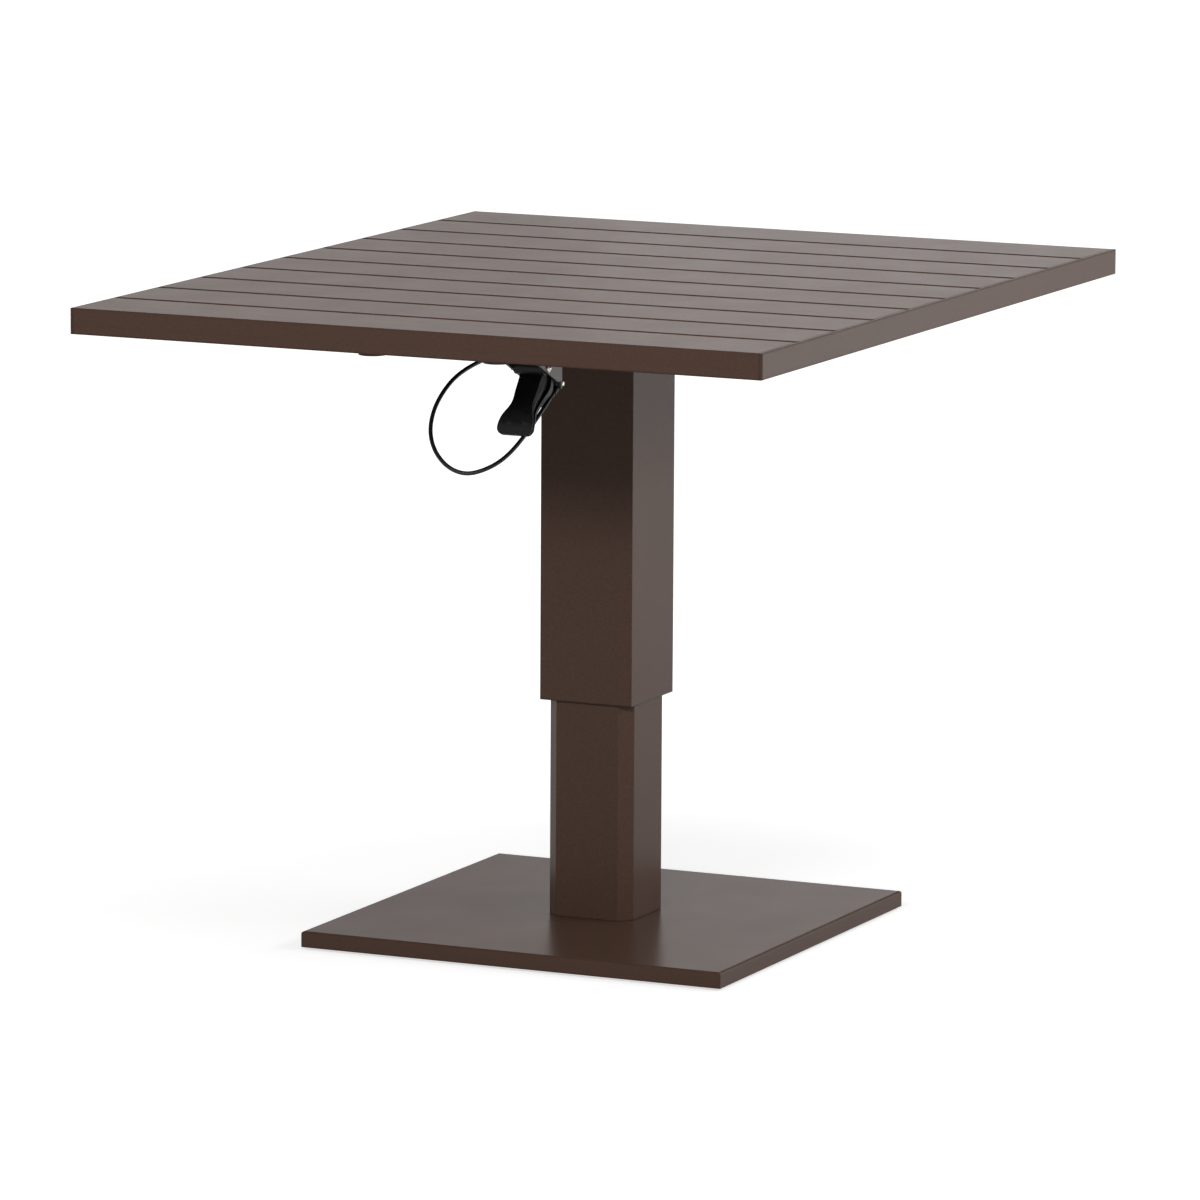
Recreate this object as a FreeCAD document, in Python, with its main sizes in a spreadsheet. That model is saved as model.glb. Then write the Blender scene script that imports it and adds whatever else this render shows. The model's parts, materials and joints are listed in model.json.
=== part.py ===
"""A pedestal table whose square column telescopes on a lockable gas spring, with a hand lever under the top."""
import FreeCAD, Part
import math
import os
import Sketcher

# Driving sizes in millimetres
SIZES = {
    # table top
    "table_height": 725.0,
    "top_width": 800.0,
    "top_depth": 990.0,
    "slat_thickness": 18.0,
    "slat_gap": 5.0,
    "slat_wall": 1.6,
    "slat_edge_radius": 0.8,
    "skirt_height": 28.0,
    "skirt_thickness": 3.0,
    "skirt_edge_radius": 1.0,
    # support rails under the slats
    "rail_spacing": 145.0,
    "rail_width": 30.0,
    "rail_drop": 9.0,
    "rail_wall": 2.0,
    "rail_edge_inset": 45.0,
    "rail_plug_depth": 12.0,
    "rail_plug_clearance": 0.2,
    # column
    "upper_tube_wall": 2.5,
    "upper_tube_bottom": 262.0,
    "lower_tube_width": 101.0,
    "lower_tube_chamfer": 13.5,
    "lower_tube_wall": 2.5,
    "tube_overlap": 166.0,
    "guide_length": 45.0,
    "guide_wall": 1.7,
    "guide_clearance": 0.3,
    "guide_recess": 2.0,
    "guide_lip": 3.0,
    "head_plate_width": 200.0,
    "head_plate_thickness": 6.0,
    "head_bolt_setback": 20.0,
    # base
    "base_width": 500.0,
    "base_thickness": 17.5,
    "base_edge_radius": 2.8,
    "glide_diameter": 36.0,
    "glide_thickness": 3.0,
    "glide_inset": 40.0,
    "glide_stem_diameter": 8.0,
    "glide_stem_length": 8.0,
    "foot_plate_thickness": 10.0,
    "foot_plate_clearance": 0.2,
    "foot_bolt_setback": 18.8,
    "foot_bolt_recess": 2.0,
    "foot_bolt_reach": 8.0,
    # gas spring
    "stroke": 225.0,
    "stroke_reserve": 12.0,
    "cylinder_diameter": 28.0,
    "cylinder_wall": 2.0,
    "cylinder_floor": 8.0,
    "rod_guide_length": 14.0,
    "rod_guide_rim": 3.0,
    "rod_diameter": 10.0,
    "rod_stand_out": 8.0,
    "piston_length": 12.0,
    "piston_clearance": 0.1,
    "release_pin_diameter": 4.0,
    "release_pin_stand_out": 5.0,
    "release_pin_length": 24.0,
    # release housing and bell crank
    "pull_drop": 13.4,
    "housing_inside": 26.0,
    "housing_depth": 56.0,
    "housing_wall": 3.0,
    "housing_web": 5.0,
    "housing_flange": 19.0,
    "crank_reach": 9.0,
    "crank_arm": 25.0,
    "crank_rise": 4.0,
    "crank_pin_diameter": 6.0,
    "crank_hub_diameter": 13.0,
    "crank_plate": 9.0,
    "crank_arm_width": 8.2,
    "crank_nose_radius": 3.0,
    "crank_fork_width": 12.0,
    "crank_fork_slot": 3.0,
    "crank_pin_head": 2.0,
    # Bowden cable
    "cable_diameter": 4.5,
    "wire_diameter": 1.5,
    "wire_clearance": 0.4,
    "nipple_diameter": 5.0,
    "nipple_length": 8.0,
    "nipple_clearance": 0.6,
    "ferrule_diameter": 6.0,
    "ferrule_length": 12.0,
    "ferrule_seat_depth": 5.0,
    "bush_diameter": 11.0,
    "bush_flange_diameter": 15.0,
    "bush_flange_thickness": 2.5,
    "bush_inside_length": 7.0,
    # release lever
    "bracket_setback": 51.0,
    "bracket_length": 66.0,
    "bracket_height": 32.0,
    "bracket_front_height": 5.0,
    "bracket_sheet": 2.5,
    "bracket_corner_flat": 10.0,
    "bracket_corner_radius": 6.0,
    "bracket_screw_setback": 10.0,
    "tongue_width": 10.0,
    "tongue_drop": 8.0,
    "pivot_setback": 34.5,
    "pivot_drop": 14.5,
    "pivot_diameter": 6.0,
    "pivot_head_diameter": 10.0,
    "pivot_head_height": 4.5,
    "pivot_nut_height": 5.0,
    "handle_reach": 44.0,
    "handle_drop": 66.0,
    "handle_neck_width": 23.0,
    "handle_tip_width": 41.0,
    "handle_wall": 3.0,
    "handle_hub_diameter": 16.0,
    "handle_side_gap": 6.0,
    "handle_side_clearance": 0.3,
    "handle_depth": 26.0,
    "handle_tip_radius": 7.0,
    "handle_edge_radius": 3.0,
    "handle_rib_width": 1.6,
    "handle_rib_height": 0.7,
    "lug_setback": 8.0,
    "lug_drop": 27.0,
    "lug_sideways": 15.0,
    "lug_diameter": 9.6,
    "lug_back": 4.0,
    "anchor_drop": 3.3,
    # fasteners and fits
    "screw_diameter": 4.5,
    "screw_head_diameter": 9.0,
    "screw_head_height": 2.4,
    "screw_bite": 8.0,
    "bolt_diameter": 8.0,
    "bolt_head_flats": 13.0,
    "bolt_head_height": 5.5,
    "bolt_bite": 10.0,
    "stud_nut_flats": 17.0,
    "stud_nut_height": 6.0,
    "stud_stand_out": 2.75,
    "stud_nut_room": 2.0,
    "running_clearance": 0.05,
    "hole_clearance": 0.2,
    "cut_overrun": 2.0,
}

# Counts, angles and shares
SLAT_COUNT = 10
HEXAGON_SIDES = 6
INNER_CHAMFER_SHARE = 2 - math.sqrt(2)
CRANK_REST_TILT = 10.35
CORD_ARC_SHARE = 0.45
FERRULE_THROAT_SHARE = 0.75
HOUSING_SCREW_SHARE = 2 / 3

# The cable's route from the lever's ferrule, round its free loop, to the bush in the column
CABLE_ROUTE = [
    (87.5, -354.4, 629.8), (79.4, -384.0, 603.8), (71.6, -409.0, 585.7), (59.7, -427.0, 575.0),
    (40.1, -440.0, 568.3), (19.2, -442.0, 574.3), (0.7, -436.0, 589.3), (-11.3, -424.0, 607.8),
    (-15.6, -407.0, 628.1), (-14.2, -386.0, 646.4), (-10.2, -360.0, 661.4), (-1.4, -326.0, 671.8),
    (-3.0, -272.0, 672.5), (-3.0, -216.0, 668.0), (-2.0, -162.0, 666.5), (0.0, -112.0, 668.6),
]

# Stations down the handle: its face's drop below the pivot, its reach forward, its depth behind the face and how
# much it has widened from the neck to the tip, as shares of the handle's sizes
HANDLE_STATION_SHARES = [
    (0.023, -0.125, 0.72, 0.0), (0.144, 0.025, 0.96, 0.0), (0.368, 0.289, 0.67, 0.0),
    (0.515, 0.466, 0.43, 0.0), (0.591, 0.584, 0.33, 0.17), (0.664, 0.705, 0.26, 0.52),
    (0.739, 0.795, 0.22, 0.81), (0.826, 0.877, 0.20, 0.98), (1.0, 0.984, 0.20, 1.0),
]
HANDLE_HOLLOW_STATIONS = (1, 7)
HANDLE_RIB_STATIONS = (3, 8)

# Side view of the handle's rear arm, as shares of the sheath lug's place behind and below the pivot
LUG_ARM_SHARES = [
    (0.30, 0.0), (0.60, 0.30), (1.12, 0.81), (1.12, 1.06), (0.55, 1.10), (0.20, 1.15), (-0.08, 0.45),
]
HANDLE_RIB_SPREAD_SHARE = 0.39


class Size:
    """A length that carries both its value and the expression that binds it to the sheet."""

    def __init__(self, text, value):
        self.text = text
        self.value = value

    def joined(self, sign, other, value):
        return Size("(%s %s %s)" % (self.text, sign, as_size(other).text), value)

    def __add__(self, other):
        return self.joined("+", other, self.value + as_size(other).value)

    def __sub__(self, other):
        return self.joined("-", other, self.value - as_size(other).value)

    def __mul__(self, other):
        return self.joined("*", other, self.value * as_size(other).value)

    def __truediv__(self, other):
        return self.joined("/", other, self.value / as_size(other).value)

    def __neg__(self):
        return Size("(0 - %s)" % self.text, -self.value)


def as_size(value):
    """A plain number becomes a Size of that value."""
    if isinstance(value, Size):
        return value
    return Size("(%r)" % float(value), float(value))


doc = FreeCAD.newDocument("PedestalTable")
sheet = doc.addObject("Spreadsheet::Sheet", "Sizes")
for row, (alias, number) in enumerate(SIZES.items(), start=1):
    sheet.set("A%d" % row, alias)
    sheet.set("B%d" % row, str(number))
    sheet.setAlias("B%d" % row, alias)
doc.recompute()


class Dimensions:
    """Every cell of the sheet as a Size, by its alias."""

    def __getattr__(self, alias):
        return Size("Sizes." + alias, float(sheet.get(alias)))


dim = Dimensions()
overrun = dim.cut_overrun
pieces = {}

# Levels and places that several pieces share
pitch = dim.top_depth / SLAT_COUNT
slat_bottom = dim.table_height - dim.slat_thickness
skirt_bottom = dim.table_height - dim.skirt_height
rail_bottom = skirt_bottom - dim.rail_drop
rail_height = slat_bottom - rail_bottom
rail_offset = dim.rail_spacing / 2
rail_end = dim.top_depth / 2 - dim.rail_edge_inset
rail_tube_end = rail_end - dim.rail_width / 2
head_bottom = rail_bottom - dim.head_plate_thickness
head_bolt_y = dim.head_plate_width / 2 - dim.head_bolt_setback
base_bottom = dim.glide_thickness
base_top = base_bottom + dim.base_thickness
lower_tube_top = dim.upper_tube_bottom + dim.tube_overlap
lower_inside_width = dim.lower_tube_width - dim.lower_tube_wall * 2
lower_inside_chamfer = dim.lower_tube_chamfer - dim.lower_tube_wall * INNER_CHAMFER_SHARE
upper_inside_width = dim.lower_tube_width + (dim.guide_wall + dim.guide_clearance) * 2
upper_tube_width = upper_inside_width + dim.upper_tube_wall * 2
foot_top = base_top + dim.foot_plate_thickness
foot_bolt_place = lower_inside_width / 2 - dim.foot_plate_clearance - dim.foot_bolt_setback
foot_bolt_head_top = base_bottom + dim.foot_bolt_recess + dim.bolt_head_height
crank_tilt = math.radians(CRANK_REST_TILT)
crank_y = dim.crank_reach
pull_y = crank_y + dim.crank_arm * math.sin(crank_tilt)
pull_z = head_bottom - dim.pull_drop
crank_z = pull_z - dim.crank_arm * math.cos(crank_tilt)
pin_top = crank_z - dim.crank_rise
rod_top = pin_top - dim.release_pin_stand_out
web_top = rod_top - dim.rod_stand_out
web_bottom = web_top - dim.housing_web
cylinder_top = web_bottom - dim.stroke - dim.stroke_reserve
bush_outer_face = -(upper_tube_width / 2) - dim.bush_flange_thickness
bracket_front = -(rail_tube_end - dim.bracket_setback)
bracket_rear = bracket_front + dim.bracket_length
bracket_bottom = rail_bottom - dim.bracket_height
bracket_half = dim.handle_neck_width / 2 + dim.handle_side_gap + dim.bracket_sheet
pivot_y = bracket_rear - dim.pivot_setback
pivot_z = rail_bottom - dim.pivot_drop
lug_x = rail_offset + dim.lug_sideways
lug_y = bracket_rear - dim.lug_setback
lug_z = pivot_z - dim.lug_drop
anchor_y = bracket_rear + dim.nipple_diameter / 2
anchor_z = bracket_bottom - dim.anchor_drop
wire_run_y = lug_y.value - anchor_y.value
wire_run_z = lug_z.value - anchor_z.value
wire_slope = math.degrees(math.atan2(-wire_run_z, -wire_run_y))


def bind(item, place, size):
    """Ties one property of a document object to the sheet."""
    item.setExpression(place, as_size(size).text)


def put(item, at, turn=None):
    """Places an object: a fixed turn, then a position that follows the sheet."""
    if turn is not None:
        item.Placement = FreeCAD.Placement(FreeCAD.Vector(), turn)
    for axis, size in zip("xyz", at):
        bind(item, "Placement.Base." + axis, size)
    return item


def about(x, y, z, degrees):
    """A turn about an axis."""
    return FreeCAD.Rotation(FreeCAD.Vector(x, y, z), degrees)


ALONG_X = about(0, 1, 0, 90)
ALONG_Y = about(1, 0, 0, -90)
ALONG_WIRE = about(1, 0, 0, 90 + wire_slope)


def cylinder(name, radius, length, at, turn=None):
    """A round bar from its start point, along +Z or the turned direction."""
    item = doc.addObject("Part::Cylinder", name)
    bind(item, "Radius", radius)
    bind(item, "Height", length)
    return put(item, at, turn)


def cone(name, low_radius, high_radius, length, at):
    """A cone that stands along +Z."""
    item = doc.addObject("Part::Cone", name)
    bind(item, "Radius1", low_radius)
    bind(item, "Radius2", high_radius)
    bind(item, "Height", length)
    return put(item, at)


def box(name, low, high):
    """A block between two corners."""
    item = doc.addObject("Part::Box", name)
    for place, start, end in zip(("Length", "Width", "Height"), low, high):
        bind(item, place, as_size(end) - start)
    return put(item, low)


def hexagon_bar(name, flats, length, at, turn=None):
    """A hexagonal bar of a given width across flats."""
    item = doc.addObject("Part::Prism", name)
    item.Polygon = HEXAGON_SIDES
    bind(item, "Circumradius", flats / math.sqrt(3))
    bind(item, "Height", length)
    return put(item, at, turn)


def cut(name, base, tools):
    """One solid less several others."""
    item = doc.addObject("Part::Cut", name)
    item.Base = base
    item.Tool = tools[0] if len(tools) == 1 else compound(name + "_tools", tools)
    return item


def fuse(name, shapes):
    """Several solids made one."""
    item = doc.addObject("Part::MultiFuse", name)
    item.Shapes = shapes
    item.Refine = True
    return item


def compound(name, items):
    """A group of separate solids."""
    item = doc.addObject("Part::Compound", name)
    item.Links = items
    return item


def finish(label, item):
    """Names an object as one of the table's sub-parts."""
    item.Label = label
    pieces[label] = item
    return item


def plane_of(body, role):
    """One of a body's own origin planes."""
    return [plane for plane in body.Origin.OriginFeatures if plane.Role == role][0]


def tie_point(sketch, line, end, point):
    """Holds one end of a line, or a circle's centre, at a place measured from the sketch's origin."""
    for kind, axis, size in (("DistanceX", -2, point[0]), ("DistanceY", -1, point[1])):
        if as_size(size).value == 0:
            sketch.addConstraint(Sketcher.Constraint("PointOnObject", line, end, axis))
        else:
            number = sketch.addConstraint(Sketcher.Constraint(kind, -1, 1, line, end, as_size(size).value))
            bind(sketch, "Constraints[%d]" % number, size)


def draw_loop(sketch, loop):
    """A closed outline of straight lines, each corner tied to the sheet."""
    corners = [FreeCAD.Vector(as_size(x).value, as_size(y).value, 0) for x, y in loop]
    first = sketch.GeometryCount
    for start, end in zip(corners, corners[1:] + corners[:1]):
        sketch.addGeometry(Part.LineSegment(start, end), False)
    for step, point in enumerate(loop):
        line = first + step
        following = first + (step + 1) % len(loop)
        sketch.addConstraint(Sketcher.Constraint("Coincident", line, 2, following, 1))
        tie_point(sketch, line, 1, point)


def new_sketch(body, role, offset, loops):
    """A sketch on one of the body's origin planes, moved along that plane's normal."""
    sketch = body.newObject("Sketcher::SketchObject", body.Name + "_sketch")
    sketch.AttachmentSupport = [(plane_of(body, role), "")]
    sketch.MapMode = "FlatFace"
    bind(sketch, "AttachmentOffset.Base.z", offset)
    for loop in loops:
        draw_loop(sketch, loop)
    return sketch


def pad(body, role, loops, low, high):
    """Adds outlines drawn on a plane, from one level across it to another."""
    offset = -as_size(high) if role == "XZ_Plane" else low
    feature = body.newObject("PartDesign::Pad", body.Name + "_pad")
    feature.Profile = new_sketch(body, role, offset, loops)
    bind(feature, "Length", as_size(high) - low)
    return feature


def pocket(body, role, loops, low, high):
    """Cuts outlines drawn on a plane, from one level across it to another, and sees that material went."""
    doc.recompute()
    before = body.Shape.Volume
    offset = -as_size(low) if role == "XZ_Plane" else high
    feature = body.newObject("PartDesign::Pocket", body.Name + "_pocket")
    feature.Profile = new_sketch(body, role, offset, loops)
    bind(feature, "Length", as_size(high) - low)
    doc.recompute()
    if body.Shape.Volume >= before:
        raise RuntimeError("a pocket of %s cut nothing" % body.Name)
    return feature


def prism(name, role, loops, low, high):
    """A body padded from outlines on one of its origin planes."""
    body = doc.addObject("PartDesign::Body", name)
    pad(body, role, loops, low, high)
    return body


def turned(name, profile, at=(0, 0, 0), turn=None):
    """A body turned about its own Z axis from an outline of radii and heights."""
    body = doc.addObject("PartDesign::Body", name)
    sketch = new_sketch(body, "XZ_Plane", 0, [profile])
    feature = body.newObject("PartDesign::Revolution", name + "_turning")
    feature.Profile = sketch
    feature.ReferenceAxis = (sketch, ["V_Axis"])
    feature.Angle = 360
    put(body, at, turn)
    return body


def round_edges(body, radius, wanted):
    """Rounds the edges of a body's last feature that a test picks out."""
    doc.recompute()
    base = body.Tip
    names = ["Edge%d" % number for number, edge in enumerate(base.Shape.Edges, start=1) if wanted(edge)]
    feature = body.newObject("PartDesign::Fillet", body.Name + "_rounding")
    feature.Base = (base, names)
    bind(feature, "Radius", radius)
    return feature


def edge_box(edge):
    """An edge's lowest and highest corners."""
    reach = edge.BoundBox
    return (reach.XMin, reach.YMin, reach.ZMin), (reach.XMax, reach.YMax, reach.ZMax)


def lies_at(edge, axis, size):
    """Whether an edge lies wholly at one level of an axis (0, 1, 2 for X, Y, Z)."""
    low, high = edge_box(edge)
    level = as_size(size).value
    return math.isclose(low[axis], level, abs_tol=1e-4) and math.isclose(high[axis], level, abs_tol=1e-4)


def rectangle(x_low, y_low, x_high, y_high):
    """Four corners of an upright rectangle."""
    return [(x_low, y_low), (x_high, y_low), (x_high, y_high), (x_low, y_high)]


def square(width):
    """A square about the origin."""
    return rectangle(-(width / 2), -(width / 2), width / 2, width / 2)


def octagon(width, leg):
    """A square about the origin whose corners are cut by a leg's length."""
    far = width / 2
    near = far - leg
    return [(far, -near), (far, near), (near, far), (-near, far), (-far, near), (-far, -near), (-near, -far),
            (near, -far)]


def corners(x, y):
    """The four places that mirror one place about both axes."""
    return [(x, y), (-x, y), (-x, -y), (x, -y)]


# Table top

def slat_center(index):
    """Where a slat's middle lies across the top."""
    return pitch * (index + 0.5 - SLAT_COUNT / 2)


def slat_screw_place(index):
    """Where a slat's screws lie across the top: its middle, but on the outer slats short of the rails' plugs."""
    last = (pitch * (SLAT_COUNT / 2 - 1) + rail_tube_end - dim.rail_plug_depth) / 2
    if index == 0:
        return -last
    if index == SLAT_COUNT - 1:
        return last
    return slat_center(index)


def slat_loops(front, back):
    """Outer outline and three hollows of a box slat between two edges across the top."""
    wall = dim.slat_wall
    room = (back - front - wall * 4) / 3
    loops = [rectangle(front, slat_bottom, back, dim.table_height)]
    for chamber in range(3):
        start = front + wall + (room + wall) * chamber
        loops.append(rectangle(start, slat_bottom + wall, start + room, dim.table_height - wall))
    return loops


def slat(index):
    """A hollow slat; the first and last also turn down as the top's front and back edge."""
    is_front = index == 0
    is_back = index == SLAT_COUNT - 1
    middle = slat_center(index)
    front = middle - pitch / 2 if is_front else middle - pitch / 2 + dim.slat_gap / 2
    back = middle + pitch / 2 if is_back else middle + pitch / 2 - dim.slat_gap / 2
    half_length = dim.top_width / 2 - dim.skirt_thickness
    loops = slat_loops(front, back)
    if is_front:
        leg = front + dim.slat_wall
        loops[0] = [(front, skirt_bottom), (leg, skirt_bottom), (leg, slat_bottom), (back, slat_bottom),
                    (back, dim.table_height), (front, dim.table_height)]
    if is_back:
        leg = back - dim.slat_wall
        loops[0] = [(front, slat_bottom), (leg, slat_bottom), (leg, skirt_bottom), (back, skirt_bottom),
                    (back, dim.table_height), (front, dim.table_height)]
    name = "slat_%02d" % (index + 1)
    body = prism(name + "_body", "YZ_Plane", loops, -half_length, half_length)

    def long_top_edge(edge):
        low, high = edge_box(edge)
        return lies_at(edge, 2, dim.table_height) and high[0] - low[0] > half_length.value

    round_edges(body, dim.slat_edge_radius, long_top_edge)
    holes = []
    for side in (-1, 1):
        at = (rail_offset * side, slat_screw_place(index), slat_bottom - overrun)
        radius = dim.screw_diameter / 2 + dim.hole_clearance
        holes.append(cylinder(name + "_hole", radius, dim.slat_wall + overrun * 2, at))
    finish(name, cut(name + "_drilled", body, holes))


def side_skirt(label, side):
    """A thin plate that closes the slats' ends, flush with the top."""
    inner = dim.top_width / 2 - dim.skirt_thickness
    outer = dim.top_width / 2
    low, high = (inner, outer) if side > 0 else (-outer, -inner)
    half_depth = dim.top_depth / 2
    loop = rectangle(-half_depth, skirt_bottom, half_depth, dim.table_height)
    body = prism(label + "_body", "YZ_Plane", [loop], low, high)
    round_edges(body, dim.skirt_edge_radius, lambda edge: lies_at(edge, 0, outer * side))
    finish(label, body)


def rail_holes(side):
    """Bores through a rail for the slat screws, the head bolts and, on the right, the bracket screws."""
    x = rail_offset * side
    tools = []
    radius = dim.screw_diameter / 2 + dim.hole_clearance
    for index in range(SLAT_COUNT):
        y = slat_screw_place(index)
        tools.append(cylinder("rail_bore", radius, rail_height + overrun * 2, (x, y, rail_bottom - overrun)))
        head = dim.screw_head_diameter / 2 + dim.hole_clearance
        depth = dim.screw_head_height + dim.hole_clearance
        tools.append(cone("rail_countersink", head, radius, depth, (x, y, rail_bottom)))
    for end in (-1, 1):
        hole = dim.bolt_diameter / 2 + dim.hole_clearance
        at = (x, head_bolt_y * end, rail_bottom - overrun)
        tools.append(cylinder("rail_bolt_bore", hole, dim.rail_wall + overrun * 2, at))
    if side > 0:
        for place_x, y in bracket_screw_places():
            at = (place_x, y, rail_bottom - overrun)
            tools.append(cylinder("rail_screw_bore", radius, dim.rail_wall + overrun * 2, at))
    return tools


def support_rail(label, side):
    """A box tube under the slats, drilled for its screws."""
    x = rail_offset * side
    half = dim.rail_width / 2
    wall = dim.rail_wall
    outer = rectangle(x - half, rail_bottom, x + half, slat_bottom)
    inner = rectangle(x - half + wall, rail_bottom + wall, x + half - wall, slat_bottom - wall)
    body = prism(label + "_body", "XZ_Plane", [outer, inner], -rail_tube_end, rail_tube_end)
    finish(label, cut(label + "_drilled", body, rail_holes(side)))


def rail_end_caps():
    """Moulded caps with half-round noses that plug the rails' four ends."""
    caps = []
    half = dim.rail_width / 2
    inset = dim.rail_wall + dim.rail_plug_clearance
    for side in (-1, 1):
        for end in (-1, 1):
            x = rail_offset * side
            disc = cylinder("cap_disc", half, rail_height, (x, rail_tube_end * end, rail_bottom))
            near = rail_tube_end if end > 0 else -(rail_tube_end + dim.rail_width)
            far = rail_tube_end + dim.rail_width if end > 0 else -rail_tube_end
            window = box("cap_half", (x - half, near, rail_bottom), (x + half, far, slat_bottom))
            nose = doc.addObject("Part::Common", "cap_nose")
            nose.Base = disc
            nose.Tool = window
            root = rail_tube_end - dim.rail_plug_depth
            low_y, high_y = (root, rail_tube_end) if end > 0 else (-rail_tube_end, -root)
            plug = box("cap_plug", (x - half + inset, low_y, rail_bottom + inset),
                       (x + half - inset, high_y, slat_bottom - inset))
            caps.append(fuse("rail_cap", [nose, plug]))
    finish("rail_end_caps", compound("rail_end_caps_group", caps))


def flush_screw(name, x, y, level, length):
    """A countersunk screw driven upwards, its head flush with a level."""
    wide = dim.screw_head_diameter / 2
    narrow = dim.screw_diameter / 2
    head = cone(name + "_head", wide, narrow, dim.screw_head_height, (x, y, level))
    shank = cylinder(name + "_shank", narrow, length, (x, y, level))
    return fuse(name, [head, shank])


def slat_screws():
    """One screw through each rail into each slat."""
    screws = []
    for index in range(SLAT_COUNT):
        for side in (-1, 1):
            x = rail_offset * side
            y = slat_screw_place(index)
            screws.append(flush_screw("slat_screw", x, y, rail_bottom, rail_height + dim.screw_bite))
    finish("slat_screws", compound("slat_screws_group", screws))


# Column

def upper_tube():
    """The square outer tube that rises with the top, bored near its head for the cable bush."""
    loops = [square(upper_tube_width), square(upper_inside_width)]
    body = prism("upper_tube_body", "XY_Plane", loops, dim.upper_tube_bottom, head_bottom)
    start = -(upper_tube_width / 2) - overrun
    radius = dim.bush_diameter / 2 + dim.hole_clearance
    hole = cylinder("bush_hole", radius, dim.upper_tube_wall + overrun * 2, (0, start, pull_z), ALONG_Y)
    finish("upper_tube", cut("upper_tube_drilled", body, [hole]))


def lower_tube():
    """The eight-sided inner tube that stands on the base plate."""
    outside = octagon(dim.lower_tube_width, dim.lower_tube_chamfer)
    inside = octagon(lower_inside_width, lower_inside_chamfer)
    finish("lower_tube", prism("lower_tube_body", "XY_Plane", [outside, inside], base_top, lower_tube_top))


def lower_guide():
    """A moulded sleeve in the mouth of the upper tube, which runs on the lower tube."""
    bore = dim.lower_tube_width + dim.guide_clearance * 2
    bore_chamfer = dim.lower_tube_chamfer + dim.guide_clearance * INNER_CHAMFER_SHARE
    loops = [square(upper_inside_width), octagon(bore, bore_chamfer)]
    bottom = dim.upper_tube_bottom + dim.guide_recess
    finish("lower_guide", prism("lower_guide_body", "XY_Plane", loops, bottom, bottom + dim.guide_length))


def upper_guide():
    """A moulded collar over the lower tube's upper end, which runs in the upper tube."""
    outside = square(upper_inside_width - dim.guide_clearance * 2)
    sleeve_loops = [outside, octagon(dim.lower_tube_width, dim.lower_tube_chamfer)]
    sleeve_bottom = lower_tube_top - dim.guide_length
    body = prism("upper_guide_body", "XY_Plane", sleeve_loops, sleeve_bottom, lower_tube_top)
    lip_loops = [outside, octagon(lower_inside_width, lower_inside_chamfer)]
    pad(body, "XY_Plane", lip_loops, lower_tube_top, lower_tube_top + dim.guide_lip)
    finish("upper_guide", body)


def head_plate():
    """The plate on the upper tube that the rails are bolted to, drilled for the release housing too."""
    body = prism("head_plate_body", "XY_Plane", [square(dim.head_plate_width)], head_bottom, rail_bottom)
    tools = []
    start = head_bottom - overrun
    length = dim.head_plate_thickness + overrun * 2
    for x, y in corners(rail_offset, head_bolt_y):
        tools.append(cylinder("head_bore", dim.bolt_diameter / 2 + dim.hole_clearance, length, (x, y, start)))
    for x, y in corners(housing_screw_x(), housing_screw_y()):
        tools.append(cylinder("housing_bore", dim.screw_diameter / 2 + dim.hole_clearance, length, (x, y, start)))
    finish("head_plate", cut("head_plate_drilled", body, tools))


def head_bolts():
    """Four bolts from below through the head plate into the rails."""
    bolts = []
    start = head_bottom - dim.bolt_head_height
    length = dim.bolt_head_height + dim.head_plate_thickness + dim.bolt_bite
    for x, y in corners(rail_offset, head_bolt_y):
        head = hexagon_bar("head_bolt_head", dim.bolt_head_flats, dim.bolt_head_height, (x, y, start))
        shank = cylinder("head_bolt_shank", dim.bolt_diameter / 2, length, (x, y, start))
        bolts.append(fuse("head_bolt", [head, shank]))
    finish("head_bolts", compound("head_bolts_group", bolts))


# Base

def base_plate():
    """The heavy base plate: rounded top edge, counterbored bolt holes, stud hole, blind holes for the glides."""
    body = prism("base_plate_body", "XY_Plane", [square(dim.base_width)], base_bottom, base_top)
    round_edges(body, dim.base_edge_radius, lambda edge: lies_at(edge, 2, base_top))
    tools = []
    start = base_bottom - overrun
    through = dim.base_thickness + overrun * 2
    for x, y in corners(foot_bolt_place, foot_bolt_place):
        head = dim.bolt_head_flats / math.sqrt(3) + dim.hole_clearance
        tools.append(cylinder("foot_counterbore", head, foot_bolt_head_top - start, (x, y, start)))
        tools.append(cylinder("foot_bore", dim.bolt_diameter / 2 + dim.hole_clearance, through, (x, y, start)))
    stud_room = dim.stud_nut_flats / math.sqrt(3) + dim.stud_nut_room
    tools.append(cylinder("stud_bore", stud_room, through, (0, 0, start)))
    place = dim.base_width / 2 - dim.glide_inset
    for x, y in corners(place, place):
        radius = dim.glide_stem_diameter / 2 + dim.hole_clearance
        depth = dim.glide_stem_length + dim.hole_clearance + overrun
        tools.append(cylinder("glide_bore", radius, depth, (x, y, start)))
    finish("base_plate", cut("base_plate_drilled", body, tools))


def base_glides():
    """Four moulded floor pads with stems pressed up into the base plate."""
    place = dim.base_width / 2 - dim.glide_inset
    disc = dim.glide_diameter / 2
    stem = dim.glide_stem_diameter / 2
    slope = dim.glide_thickness / 3
    top = dim.glide_thickness + dim.glide_stem_length
    profile = [(0, 0), (disc - slope, 0), (disc, slope), (disc, dim.glide_thickness),
               (stem, dim.glide_thickness), (stem, top), (0, top)]
    glides = [turned("base_glide", profile, (x, y, 0)) for x, y in corners(place, place)]
    finish("base_glides", compound("base_glides_group", glides))


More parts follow.
